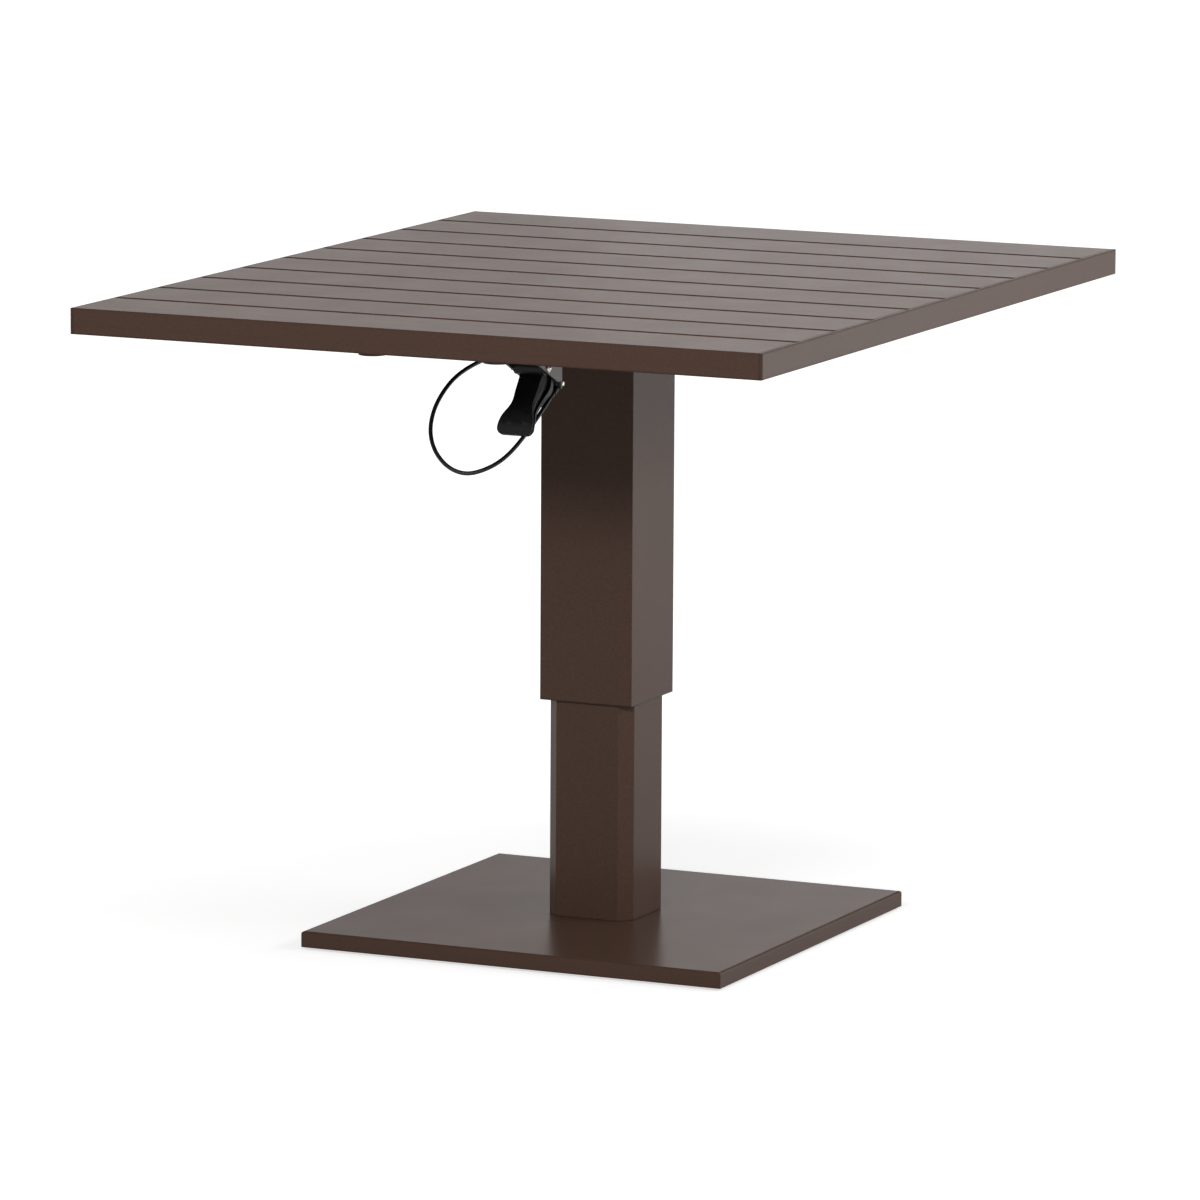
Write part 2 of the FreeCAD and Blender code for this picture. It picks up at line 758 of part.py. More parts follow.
def foot_plate():
    """The eight-sided plate in the foot of the lower tube: tapped for the base bolts, bored for the stud."""
    width = lower_inside_width - dim.foot_plate_clearance * 2
    leg = lower_inside_chamfer - dim.foot_plate_clearance * INNER_CHAMFER_SHARE
    body = prism("foot_plate_body", "XY_Plane", [octagon(width, leg)], base_top, foot_top)
    length = dim.foot_plate_thickness + overrun * 2
    start = base_top - overrun
    tools = [cylinder("stud_hole", dim.rod_diameter / 2 + dim.hole_clearance, length, (0, 0, start))]
    for x, y in corners(foot_bolt_place, foot_bolt_place):
        tools.append(cylinder("tapped_hole", dim.bolt_diameter / 2 + dim.running_clearance, length, (x, y, start)))
    finish("foot_plate", cut("foot_plate_drilled", body, tools))


def foot_bolts():
    """Four bolts from below that pull the foot plate and the lower tube down on the base plate."""
    bolts = []
    start = foot_bolt_head_top - dim.bolt_head_height
    length = base_top + dim.foot_bolt_reach - start
    for x, y in corners(foot_bolt_place, foot_bolt_place):
        head = hexagon_bar("foot_bolt_head", dim.bolt_head_flats, dim.bolt_head_height, (x, y, start))
        shank = cylinder("foot_bolt_shank", dim.bolt_diameter / 2, length, (x, y, start))
        bolts.append(fuse("foot_bolt", [head, shank]))
    finish("foot_bolts", compound("foot_bolts_group", bolts))


# Gas spring

def gas_cylinder():
    """The pressure tube with its floor and the stud that stands in the foot plate."""
    outer = dim.cylinder_diameter / 2
    inner = outer - dim.cylinder_wall
    stud = dim.rod_diameter / 2
    stud_end = base_top - dim.stud_nut_height - dim.stud_stand_out
    profile = [(0, stud_end), (stud, stud_end), (stud, foot_top), (outer, foot_top), (outer, cylinder_top),
               (inner, cylinder_top), (inner, foot_top + dim.cylinder_floor), (0, foot_top + dim.cylinder_floor)]
    finish("gas_cylinder", turned("gas_cylinder_body", profile))


def gas_rod_guide():
    """The sealed guide that closes the pressure tube around the rod."""
    bore = dim.rod_diameter / 2 + dim.running_clearance
    inner = dim.cylinder_diameter / 2 - dim.cylinder_wall
    outer = dim.cylinder_diameter / 2
    low = cylinder_top - dim.rod_guide_length
    high = cylinder_top + dim.rod_guide_rim
    profile = [(bore, low), (inner, low), (inner, cylinder_top), (outer, cylinder_top), (outer, high),
               (bore, high)]
    finish("gas_rod_guide", turned("gas_rod_guide_body", profile))


def gas_rod():
    """The piston rod, its piston at the top of the stroke, bored at its head for the release pin."""
    rod = dim.rod_diameter / 2
    piston = dim.cylinder_diameter / 2 - dim.cylinder_wall - dim.piston_clearance
    bore = dim.release_pin_diameter / 2 + dim.running_clearance
    piston_top = cylinder_top - dim.rod_guide_length - dim.stroke_reserve / 2
    piston_bottom = piston_top - dim.piston_length
    bore_floor = pin_top - dim.release_pin_length - dim.stroke_reserve / 2
    profile = [(0, piston_bottom), (piston, piston_bottom), (piston, piston_top), (rod, piston_top),
               (rod, rod_top), (bore, rod_top), (bore, bore_floor), (0, bore_floor)]
    finish("gas_rod", turned("gas_rod_body", profile))


def ring_nut(name, flats, bore, height, at, turn=None):
    """A hexagon nut, drawn with a plain bore."""
    body = hexagon_bar(name + "_hexagon", flats, height, at, turn)
    back = FreeCAD.Vector(0, 0, -1)
    if turn is not None:
        back = turn.multVec(back)
    start = [as_size(size) + overrun * step for size, step in zip(at, back)]
    hole = cylinder(name + "_bore", bore / 2 + dim.running_clearance, height + overrun * 2, start, turn)
    return cut(name, body, [hole])


def spring_nuts():
    """The nut on the cylinder's stud, and the two nuts that hold the rod in the release housing."""
    flats = dim.stud_nut_flats
    height = dim.stud_nut_height
    finish("gas_stud_nut", ring_nut("stud_nut", flats, dim.rod_diameter, height, (0, 0, base_top - height)))
    rod_nuts = []
    for level in (web_bottom - height, web_top):
        rod_nuts.append(ring_nut("rod_nut", flats, dim.rod_diameter, height, (0, 0, level)))
    finish("gas_rod_nuts", compound("gas_rod_nuts_group", rod_nuts))


def release_pin():
    """The pin in the rod's head that unlocks the gas spring when it is pressed."""
    pin = dim.release_pin_diameter / 2
    tip = pin / 2
    foot = pin_top - dim.release_pin_length
    profile = [(0, foot), (pin, foot), (pin, pin_top - tip), (tip, pin_top), (0, pin_top)]
    finish("release_pin", turned("release_pin_body", profile))


# Release housing under the head plate

def housing_screw_x():
    """How far out the housing's screws lie."""
    return dim.housing_inside / 2 + dim.housing_wall + dim.housing_flange / 2


def housing_screw_y():
    """How far forward and back the housing's screws lie."""
    return dim.housing_depth / 2 - dim.screw_head_diameter


def release_housing():
    """A bent hat bracket under the head plate: flanges, two walls and the web that holds the rod."""
    inside = dim.housing_inside / 2
    outside = inside + dim.housing_wall
    brim = outside + dim.housing_flange
    flange_bottom = head_bottom - dim.housing_wall
    loop = [(-brim, flange_bottom), (-outside, flange_bottom), (-outside, web_bottom), (outside, web_bottom),
            (outside, flange_bottom), (brim, flange_bottom), (brim, head_bottom), (inside, head_bottom),
            (inside, web_top), (-inside, web_top), (-inside, head_bottom), (-brim, head_bottom)]
    half_depth = dim.housing_depth / 2
    body = prism("release_housing_body", "XZ_Plane", [loop], -half_depth, half_depth)
    rod_radius = dim.rod_diameter / 2 + dim.hole_clearance
    rod_length = dim.housing_web + overrun * 2
    pin_radius = dim.crank_pin_diameter / 2 + dim.running_clearance
    pin_start = (-outside - overrun, crank_y, crank_z)
    tools = [cylinder("rod_hole", rod_radius, rod_length, (0, 0, web_bottom - overrun)),
             cylinder("crank_pin_hole", pin_radius, outside * 2 + overrun * 2, pin_start, ALONG_X)]
    screw_radius = dim.screw_diameter / 2 + dim.hole_clearance
    screw_length = dim.housing_wall + overrun * 2
    for x, y in corners(housing_screw_x(), housing_screw_y()):
        tools.append(cylinder("flange_hole", screw_radius, screw_length, (x, y, flange_bottom - overrun)))
    finish("release_housing", cut("release_housing_drilled", body, tools))


def dome_screw(name, x, y, seat, length):
    """A pan-head screw driven upwards against a seat."""
    head_height = dim.screw_head_height
    head = dim.screw_head_diameter / 2
    shank = dim.screw_diameter / 2
    bevel = head_height / 2
    profile = [(0, -head_height), (head - bevel, -head_height), (head, -bevel), (head, 0), (shank, 0),
               (shank, length), (0, length)]
    return turned(name, profile, (x, y, seat))


def housing_screws():
    """Four screws that hold the release housing to the head plate."""
    seat = head_bottom - dim.housing_wall
    length = dim.housing_wall + dim.head_plate_thickness * HOUSING_SCREW_SHARE
    places = corners(housing_screw_x(), housing_screw_y())
    screws = [dome_screw("housing_screw", x, y, seat, length) for x, y in places]
    finish("housing_screws", compound("housing_screws_group", screws))


def crank_pin():
    """The headed pin across the housing that the bell crank turns on."""
    outside = dim.housing_inside / 2 + dim.housing_wall
    pin = dim.crank_pin_diameter / 2
    head = pin + dim.crank_pin_head
    profile = [(0, -dim.crank_pin_head), (head, -dim.crank_pin_head), (head, 0), (pin, 0),
               (pin, outside * 2 + dim.crank_pin_head), (0, outside * 2 + dim.crank_pin_head)]
    finish("crank_pin", turned("crank_pin_body", profile, (-outside, crank_y, crank_z), ALONG_X))


def bell_crank():
    """The crank: a hub on its pin, a nose over the release pin and a forked arm that takes the wire's nipple."""
    hub = dim.crank_hub_diameter / 2
    hub_half = dim.housing_inside / 2 - dim.guide_clearance
    plate_half = dim.crank_plate / 2
    fork_half = dim.crank_fork_width / 2
    nose = dim.crank_nose_radius
    nose_z = pin_top + dim.guide_clearance + nose
    hub_bar = cylinder("crank_hub", hub, hub_half * 2, (-hub_half, crank_y, crank_z), ALONG_X)
    nose_bar = cylinder("crank_nose", nose, plate_half * 2, (-plate_half, 0, nose_z), ALONG_X)
    arm_loop = [(0, nose_z - nose), (crank_y, nose_z - nose), (crank_y, nose_z + nose), (0, nose_z + nose)]
    nose_arm = prism("crank_nose_arm", "YZ_Plane", [arm_loop], -plate_half, plate_half)
    boss = cylinder("crank_boss", dim.nipple_diameter, fork_half * 2, (-fork_half, pull_y, pull_z), ALONG_X)
    breadth = dim.crank_arm_width / 2
    lean_y = breadth * math.cos(crank_tilt)
    lean_z = breadth * math.sin(crank_tilt)
    lever_loop = [(crank_y - lean_y, crank_z + lean_z), (crank_y + lean_y, crank_z - lean_z),
                  (pull_y + lean_y, pull_z - lean_z), (pull_y - lean_y, pull_z + lean_z)]
    lever_arm = prism("crank_lever_arm", "YZ_Plane", [lever_loop], -fork_half, fork_half)
    solid = fuse("crank_solid", [hub_bar, nose_bar, nose_arm, boss, lever_arm])
    pin_bore = dim.crank_pin_diameter / 2 + dim.running_clearance
    pin_start = (-hub_half - overrun, crank_y, crank_z)
    pin_hole = cylinder("crank_pin_bore", pin_bore, (hub_half + overrun) * 2, pin_start, ALONG_X)
    nipple_bore = dim.nipple_diameter / 2 + dim.nipple_clearance
    nipple_start = (-fork_half - overrun, pull_y, pull_z)
    nipple_hole = cylinder("nipple_bore", nipple_bore, (fork_half + overrun) * 2, nipple_start, ALONG_X)
    slot_half = dim.crank_fork_slot / 2
    reach = dim.nipple_diameter + overrun
    slot = box("fork_slot", (-slot_half, pull_y - reach, pull_z - dim.nipple_diameter),
               (slot_half, pull_y + reach, pull_z + reach))
    bored = cut("crank_bored", solid, [pin_hole])
    finish("bell_crank", cut("bell_crank_forked", bored, [nipple_hole, slot]))


def pull_wire():
    """The inner wire from the cable bush to the crank, and the nipple cast on its end."""
    start = -(upper_inside_width / 2)
    length = pull_y - start
    wire = cylinder("pull_wire_strand", dim.wire_diameter / 2, length, (0, start, pull_z), ALONG_Y)
    end = (-(dim.nipple_length / 2), pull_y, pull_z)
    nipple = cylinder("pull_wire_nipple", dim.nipple_diameter / 2, dim.nipple_length, end, ALONG_X)
    finish("pull_wire", fuse("pull_wire_solid", [wire, nipple]))


def cable_bush():
    """The flanged bush in the column's front wall that stops the cable's sheath and lets the wire through."""
    flange = dim.bush_flange_diameter / 2
    body = dim.bush_diameter / 2
    bore = dim.ferrule_diameter / 2 + dim.hole_clearance
    thin = dim.wire_diameter / 2 + dim.wire_clearance
    thick = dim.bush_flange_thickness
    end = thick + dim.upper_tube_wall + dim.bush_inside_length
    profile = [(bore, 0), (flange, 0), (flange, thick), (body, thick), (body, end), (thin, end),
               (thin, dim.ferrule_seat_depth), (bore, dim.ferrule_seat_depth)]
    finish("cable_bush", turned("cable_bush_body", profile, (0, bush_outer_face, pull_z), ALONG_Y))


def ferrule_profile():
    """Outline of the cap crimped on a sheath's end: bored for the wire, a step down at its mouth."""
    outer = dim.ferrule_diameter / 2
    bore = dim.wire_diameter / 2 + dim.wire_clearance
    throat = dim.ferrule_length * FERRULE_THROAT_SHARE
    mouth = (outer + dim.cable_diameter / 2) / 2
    return [(bore, 0), (outer, 0), (outer, throat), (mouth, throat), (mouth, dim.ferrule_length),
            (bore, dim.ferrule_length)]


def column_ferrule():
    """The sheath's end cap seated in the bush, mouth towards the front."""
    seat = (0, bush_outer_face + dim.ferrule_seat_depth, pull_z)
    finish("column_ferrule", turned("column_ferrule_body", ferrule_profile(), seat, about(1, 0, 0, 90)))


# Release lever under the right rail

def bracket_screw_places():
    """Where the bracket's two screws lie under the rail, on either side of the row of slat screws."""
    aside = dim.rail_width / 2 - dim.rail_wall - dim.screw_head_diameter / 2
    return [(rail_offset - aside, bracket_front + dim.bracket_screw_setback),
            (rail_offset + aside, bracket_rear - dim.bracket_screw_setback)]


def lever_bracket():
    """A folded steel bracket: top flange, two sloping cheeks and a rear wall whose tongue anchors the wire."""
    front = bracket_front
    rear = bracket_rear
    bottom = bracket_bottom
    cheek = [(front, rail_bottom - dim.bracket_front_height), (rear - dim.bracket_corner_flat, bottom),
             (rear, bottom), (rear, rail_bottom), (front, rail_bottom)]
    low_x = rail_offset - bracket_half
    high_x = rail_offset + bracket_half
    sheet_metal = dim.bracket_sheet
    body = prism("lever_bracket_body", "YZ_Plane", [cheek], low_x, high_x)

    def rear_corner(edge):
        return lies_at(edge, 1, rear) and lies_at(edge, 2, bottom)

    round_edges(body, dim.bracket_corner_radius, rear_corner)
    hollow = rectangle(front - overrun, bottom - overrun, rear - sheet_metal, rail_bottom - sheet_metal)
    pocket(body, "YZ_Plane", [hollow], low_x + sheet_metal, high_x - sheet_metal)
    tongue_half = dim.tongue_width / 2
    tongue_top = bottom + dim.bracket_corner_radius * 2
    tongue = box("bracket_tongue", (lug_x - tongue_half, rear - sheet_metal, bottom - dim.tongue_drop),
                 (lug_x + tongue_half, rear, tongue_top))
    joined = fuse("bracket_solid", [body, tongue])
    slot_half = dim.wire_diameter / 2 + dim.wire_clearance
    slot_low = (lug_x - slot_half, rear - sheet_metal - overrun, bottom - dim.tongue_drop - overrun)
    tools = [box("wire_slot", slot_low, (lug_x + slot_half, rear + overrun, anchor_z + slot_half))]
    screw_radius = dim.screw_diameter / 2 + dim.hole_clearance
    for x, y in bracket_screw_places():
        at = (x, y, rail_bottom - sheet_metal - overrun)
        tools.append(cylinder("bracket_hole", screw_radius, sheet_metal + overrun * 2, at))
    pivot_radius = dim.pivot_diameter / 2 + dim.running_clearance
    pivot_start = (low_x - overrun, pivot_y, pivot_z)
    tools.append(cylinder("pivot_hole", pivot_radius, (bracket_half + overrun) * 2, pivot_start, ALONG_X))
    finish("lever_bracket", cut("lever_bracket_drilled", joined, tools))


def bracket_screws():
    """Two screws that hold the bracket under the rail."""
    length = dim.bracket_sheet + dim.rail_wall + dim.screw_bite
    seat = rail_bottom - dim.bracket_sheet
    screws = [dome_screw("bracket_screw", x, y, seat, length) for x, y in bracket_screw_places()]
    finish("bracket_screws", compound("bracket_screws_group", screws))


def pivot_bolt():
    """The bolt that the handle turns on, its round head on the outer cheek, and its nut on the inner one."""
    shank = dim.pivot_diameter / 2
    head = dim.pivot_head_diameter / 2
    height = dim.pivot_head_height
    bevel = height / 3
    nut_height = dim.pivot_nut_height
    length = bracket_half * 2 + nut_height + dim.bracket_sheet
    profile = [(0, -height), (head - bevel, -height), (head, -bevel), (head, 0), (shank, 0), (shank, length),
               (0, length)]
    bolt = turned("pivot_bolt_body", profile, (rail_offset + bracket_half, pivot_y, pivot_z), about(0, 1, 0, -90))
    finish("pivot_bolt", bolt)
    at = (rail_offset - bracket_half - nut_height, pivot_y, pivot_z)
    nut = ring_nut("pivot_nut_solid", dim.pivot_head_diameter, dim.pivot_diameter, nut_height, at, ALONG_X)
    finish("pivot_nut", nut)


def handle_leans():
    """How far each station's section leans forward out of level, from the stations above and below it."""
    places = [(dim.handle_reach.value * forward, dim.handle_drop.value * down)
              for down, forward, depth, flare in HANDLE_STATION_SHARES]
    above = places[:1] + places[:-1]
    below = places[1:] + places[-1:]
    return [math.degrees(math.atan2(low[0] - high[0], low[1] - high[1])) for high, low in zip(above, below)]


def handle_loft(body, kind, stations, outline):
    """A loft down a run of the handle's stations, through an outline of each one's half width and depth."""
    sketches = []
    for station, lean in list(zip(HANDLE_STATION_SHARES, handle_leans()))[slice(*stations)]:
        down, forward, depth, flare = station
        half = (dim.handle_neck_width + (dim.handle_tip_width - dim.handle_neck_width) * flare) / 2
        sketch = new_sketch(body, "XY_Plane", 0, [outline(half, dim.handle_depth * depth)])
        place = (rail_offset, pivot_y - dim.handle_reach * forward, pivot_z - dim.handle_drop * down)
        sketch.AttachmentOffset = FreeCAD.Placement(FreeCAD.Vector(), about(1, 0, 0, -lean))
        for axis, size in zip("xyz", place):
            bind(sketch, "AttachmentOffset.Base." + axis, size)
        sketches.append(sketch)
    feature = body.newObject("PartDesign::" + kind, body.Name + "_loft")
    feature.Profile = sketches[0]
    feature.Sections = sketches[1:]
    return feature


def lug_arm_outline():
    """Corners of a side view of the arm that carries the sheath's lug."""
    rearward = lug_y - pivot_y
    return [(pivot_y + rearward * back, pivot_z - dim.lug_drop * down) for back, down in LUG_ARM_SHARES]


def lever_handle():
    """The moulded handle: a ribbed paddle with side walls, ears on the pivot and a lug that seats the sheath."""
    wall = dim.handle_wall
    inside = dim.handle_neck_width / 2 - wall
    body = doc.addObject("PartDesign::Body", "lever_handle_body")

    def whole(half, depth):
        return rectangle(-half, 0, half, depth)

    def hollow(half, depth):
        return rectangle(wall - half, wall, half - wall, depth + overrun)

    handle_loft(body, "AdditiveLoft", (0, len(HANDLE_STATION_SHARES)), whole)
    tip_front = pivot_y - dim.handle_reach * HANDLE_STATION_SHARES[-1][1]
    half_tip = dim.handle_tip_width / 2

    def tip_corner(edge):
        at_side = lies_at(edge, 0, rail_offset - half_tip) or lies_at(edge, 0, rail_offset + half_tip)
        return at_side and edge.BoundBox.ZMax < (pivot_z - dim.handle_drop * HANDLE_STATION_SHARES[-2][0]).value

    def face_side(edge):
        reach = edge.BoundBox
        return reach.ZLength > dim.handle_drop.value / 2 and reach.YMin < (tip_front + wall).value

    round_edges(body, dim.handle_tip_radius, tip_corner)
    round_edges(body, dim.handle_edge_radius, face_side)
    handle_loft(body, "SubtractiveLoft", HANDLE_HOLLOW_STATIONS, hollow)
    for side in (-1, 1):
        low = dim.handle_neck_width * HANDLE_RIB_SPREAD_SHARE * side - dim.handle_rib_width / 2

        def rib(half, depth):
            return rectangle(low, -dim.handle_rib_height, low + dim.handle_rib_width, wall / 2)

        handle_loft(body, "AdditiveLoft", HANDLE_RIB_STATIONS, rib)
    hub_half = bracket_half - dim.bracket_sheet - dim.handle_side_clearance
    hub_start = (rail_offset - hub_half, pivot_y, pivot_z)
    hub = cylinder("handle_hub", dim.handle_hub_diameter / 2, hub_half * 2, hub_start, ALONG_X)
    backward = FreeCAD.Vector(0, -wire_run_y, -wire_run_z).normalize()
    lug_start = (lug_x, lug_y + dim.lug_back * backward.y, lug_z + dim.lug_back * backward.z)
    lug_length = dim.lug_back + dim.ferrule_seat_depth
    lug = cylinder("handle_lug", dim.lug_diameter / 2, lug_length, lug_start, ALONG_WIRE)
    outer = rail_offset + dim.handle_neck_width / 2
    arm = prism("handle_arm", "YZ_Plane", [lug_arm_outline()], rail_offset + inside, outer)
    solid = fuse("handle_solid", [body, hub, lug, arm])
    bore_radius = dim.pivot_diameter / 2 + dim.running_clearance
    bore_start = (rail_offset - hub_half - overrun, pivot_y, pivot_z)
    bore = cylinder("handle_bore", bore_radius, (hub_half + overrun) * 2, bore_start, ALONG_X)
    seat_radius = dim.ferrule_diameter / 2 + dim.hole_clearance
    seat_length = dim.ferrule_seat_depth + overrun
    seat = cylinder("handle_seat", seat_radius, seat_length, (lug_x, lug_y, lug_z), ALONG_WIRE)
    hole_radius = dim.wire_diameter / 2 + dim.wire_clearance
    behind = dim.lug_back + overrun
    hole_start = (lug_x, lug_y + behind * backward.y, lug_z + behind * backward.z)
    hole = cylinder("handle_wire_hole", hole_radius, behind + overrun, hole_start, ALONG_WIRE)
    bored = cut("handle_bored", solid, [bore])
    seated = cut("handle_seated", bored, [seat])
    finish("lever_handle", cut("lever_handle_drilled", seated, [hole]))


def lever_ferrule():
    """The sheath's end cap seated in the handle's lug."""
    finish("lever_ferrule", turned("lever_ferrule_body", ferrule_profile(), (lug_x, lug_y, lug_z), ALONG_WIRE))


def lever_wire():
    """The bare wire end between the bracket's tongue and the handle's lug, with its barrel nipple."""
    half = dim.nipple_length / 2
    nipple = cylinder("lever_wire_nipple", dim.nipple_diameter / 2, dim.nipple_length,
                      (lug_x - half, anchor_y, anchor_z), ALONG_X)
    length = math.hypot(wire_run_y, wire_run_z)
    strand = cylinder("lever_wire_strand", dim.wire_diameter / 2, as_size(length) + dim.lug_back,
                      (lug_x, anchor_y, anchor_z), ALONG_WIRE)
    finish("lever_wire", fuse("lever_wire_solid", [nipple, strand]))


# Bowden cable

def cord_edges(points):
    """Straight runs joined by tangent arcs, each arc as large as its two runs allow."""
    edges = []
    radii = []
    start = points[0]
    for before, corner, after in zip(points, points[1:], points[2:]):
        back = (before - corner).normalize()
        ahead = (after - corner).normalize()
        reach = CORD_ARC_SHARE * min(before.distanceToPoint(corner), after.distanceToPoint(corner))
        turn = math.pi - back.getAngle(ahead)
        radius = reach / math.tan(turn / 2)
        radii.append(radius)
        bisector = (back + ahead).normalize()
        middle = corner + bisector * (radius / math.cos(turn / 2) - radius)
        edges.append(Part.LineSegment(start, corner + back * reach).toShape())
        edges.append(Part.Arc(corner + back * reach, middle, corner + ahead * reach).toShape())
        start = corner + ahead * reach
    edges.append(Part.LineSegment(start, points[-1]).toShape())
    return edges, radii


def release_cable():
    """The black sheath: from the lever's ferrule, round its free loop, to the ferrule in the column."""
    forward = FreeCAD.Vector(0, wire_run_y, wire_run_z).normalize()
    lug = FreeCAD.Vector(lug_x.value, lug_y.value, lug_z.value)
    first = lug + forward * (dim.ferrule_length + dim.guide_clearance).value
    last_y = bush_outer_face + dim.ferrule_seat_depth - dim.ferrule_length
    last = FreeCAD.Vector(0, last_y.value, pull_z.value)
    points = [first] + [FreeCAD.Vector(*place) for place in CABLE_ROUTE] + [last]
    edges, radii = cord_edges(points)
    path = Part.Wire(edges)
    radius = dim.cable_diameter.value / 2
    section = Part.Wire(Part.Circle(first, points[1] - points[0], radius).toShape())
    tube = path.makePipeShell([section], True, False)
    print("cable radii:", " ".join("%.0f" % value for value in radii))
    print("cable length %.1f, volume over section times length %.4f"
          % (path.Length, tube.Volume / (math.pi * radius ** 2 * path.Length)))
    item = doc.addObject("Part::Feature", "release_cable_tube")
    item.Shape = tube
    finish("release_cable", item)


for slat_index in range(SLAT_COUNT):
    slat(slat_index)
side_skirt("side_skirt_left", -1)
side_skirt("side_skirt_right", 1)
support_rail("support_rail_left", -1)
support_rail("support_rail_right", 1)
for make in (rail_end_caps, slat_screws, upper_tube, lower_tube, lower_guide, upper_guide, head_plate, head_bolts,
             base_plate, base_glides, foot_plate, foot_bolts, gas_cylinder, gas_rod_guide, gas_rod, spring_nuts,
             release_pin, release_housing, housing_screws, crank_pin, bell_crank, pull_wire, cable_bush,
             column_ferrule, lever_bracket, bracket_screws, pivot_bolt, lever_handle, lever_ferrule, lever_wire,
             release_cable):
    make()
doc.recompute()

faults = [item.Label for item in doc.Objects if "Invalid" in item.State or "Error" in item.State]
for label, item in pieces.items():
    if item.Shape.isNull() or not item.Shape.isValid():
        faults.append(label)
if faults:
    raise RuntimeError("these objects failed: " + ", ".join(faults))

os.makedirs("parts", exist_ok=True)
for label, item in pieces.items():
    item.Shape.exportStep("parts/%s.step" % label)
    print("%-20s %2d solids %12.1f mm3" % (label, len(item.Shape.Solids), item.Shape.Volume))
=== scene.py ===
"""Looks of a telescoping pedestal table: coated top, column and base, release lever and its cable."""
import json
import math

import bpy
import numpy as np
from mathutils import Matrix, Vector


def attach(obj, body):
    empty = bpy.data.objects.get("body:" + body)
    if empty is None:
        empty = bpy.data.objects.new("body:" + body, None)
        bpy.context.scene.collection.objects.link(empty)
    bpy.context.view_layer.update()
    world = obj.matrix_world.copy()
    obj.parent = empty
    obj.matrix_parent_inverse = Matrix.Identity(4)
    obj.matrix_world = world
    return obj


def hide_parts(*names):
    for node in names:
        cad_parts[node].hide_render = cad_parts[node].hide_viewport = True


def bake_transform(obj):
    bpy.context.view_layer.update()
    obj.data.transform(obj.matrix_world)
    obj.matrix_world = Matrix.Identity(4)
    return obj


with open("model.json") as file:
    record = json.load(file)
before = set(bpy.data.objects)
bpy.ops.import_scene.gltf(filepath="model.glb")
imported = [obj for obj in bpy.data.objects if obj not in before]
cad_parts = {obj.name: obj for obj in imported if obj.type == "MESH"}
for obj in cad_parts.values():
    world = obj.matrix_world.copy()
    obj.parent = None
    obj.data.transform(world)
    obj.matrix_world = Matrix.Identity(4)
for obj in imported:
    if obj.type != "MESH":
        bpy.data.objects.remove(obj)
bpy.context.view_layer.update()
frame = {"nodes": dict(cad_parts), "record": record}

MM = 0.001

# Camera: where the photograph was taken from, in degrees, metres and the photograph's own pixels
PHOTO_SIDE_PX = 1200
CAMERA_FOCAL_PX = 8450.0
CAMERA_AZIMUTH = 24.723
CAMERA_ELEVATION = 9.315
CAMERA_ROLL = 0.313
CAMERA_DISTANCE = 9.2823
CAMERA_TARGET = (0.0, 0.0, 0.3586)
CAMERA_ASIDE = 7.71 * MM
CAMERA_DOWN = 9.68 * MM
SENSOR_WIDTH = 36.0

# Soft lights: name, place and aim in metres, width and height in metres, power in watts
SOFT_BOXES = [
    ("front_strip_light", (0.6, -4.0, 2.46), (0.0, 0.0, 0.45), 2.6, 0.55, 86.0),
    ("right_strip_light", (2.6, 0.3, 1.75), (0.0, 0.0, 0.5), 1.6, 0.5, 20.0),
    ("back_right_soft_box", (2.1, 1.45, 0.75), (0.0, 0.0, 0.45), 3.0, 2.2, 24.0),
    ("far_strip_light", (-1.4, 6.0, 1.3), (0.0, 0.0, 0.4), 2.6, 0.5, 2.3),
    ("overhead_soft_box", (0.0, -0.5, 3.0), (0.0, 0.0, 0.5), 2.0, 2.0, 12.5),
]

# The cable's route from the lever's ferrule, round its free loop, to the bush in the column, in metres
CABLE_DIAMETER = 4.5 * MM
CABLE_ROUTE = [
    (0.0875, -0.3366, 0.6402), (0.0875, -0.3544, 0.6298), (0.0794, -0.3840, 0.6038),
    (0.0716, -0.4090, 0.5857), (0.0597, -0.4270, 0.5750), (0.0401, -0.4400, 0.5683),
    (0.0192, -0.4420, 0.5743), (0.0007, -0.4360, 0.5893), (-0.0113, -0.4240, 0.6078),
    (-0.0156, -0.4070, 0.6281), (-0.0142, -0.3860, 0.6464), (-0.0102, -0.3600, 0.6614),
    (-0.0014, -0.3260, 0.6718), (-0.0030, -0.2720, 0.6725), (-0.0030, -0.2160, 0.6680),
    (-0.0020, -0.1620, 0.6665), (0.0000, -0.1120, 0.6686), (0.0000, -0.0645, 0.6686),
]
CABLE_STEPS = 14
CABLE_SIDES = 20

# The bare wire from its nipple behind the bracket's tongue into the lever's lug, in metres
WIRE_ANCHOR = (0.0875, -0.3155, 0.6527)
WIRE_END = (0.0875, -0.3294, 0.6445)
WIRE_DIAMETER = 1.5 * MM
WIRE_LAY = 9.0 * MM
WIRE_STRANDS = 6
WIRE_STEPS = 60
STRAND_SIDES = 10
NIPPLE_DIAMETER = 5.0 * MM
NIPPLE_LENGTH = 11.0 * MM
NIPPLE_BEVEL = 0.4 * MM
NIPPLE_SIDES = 32

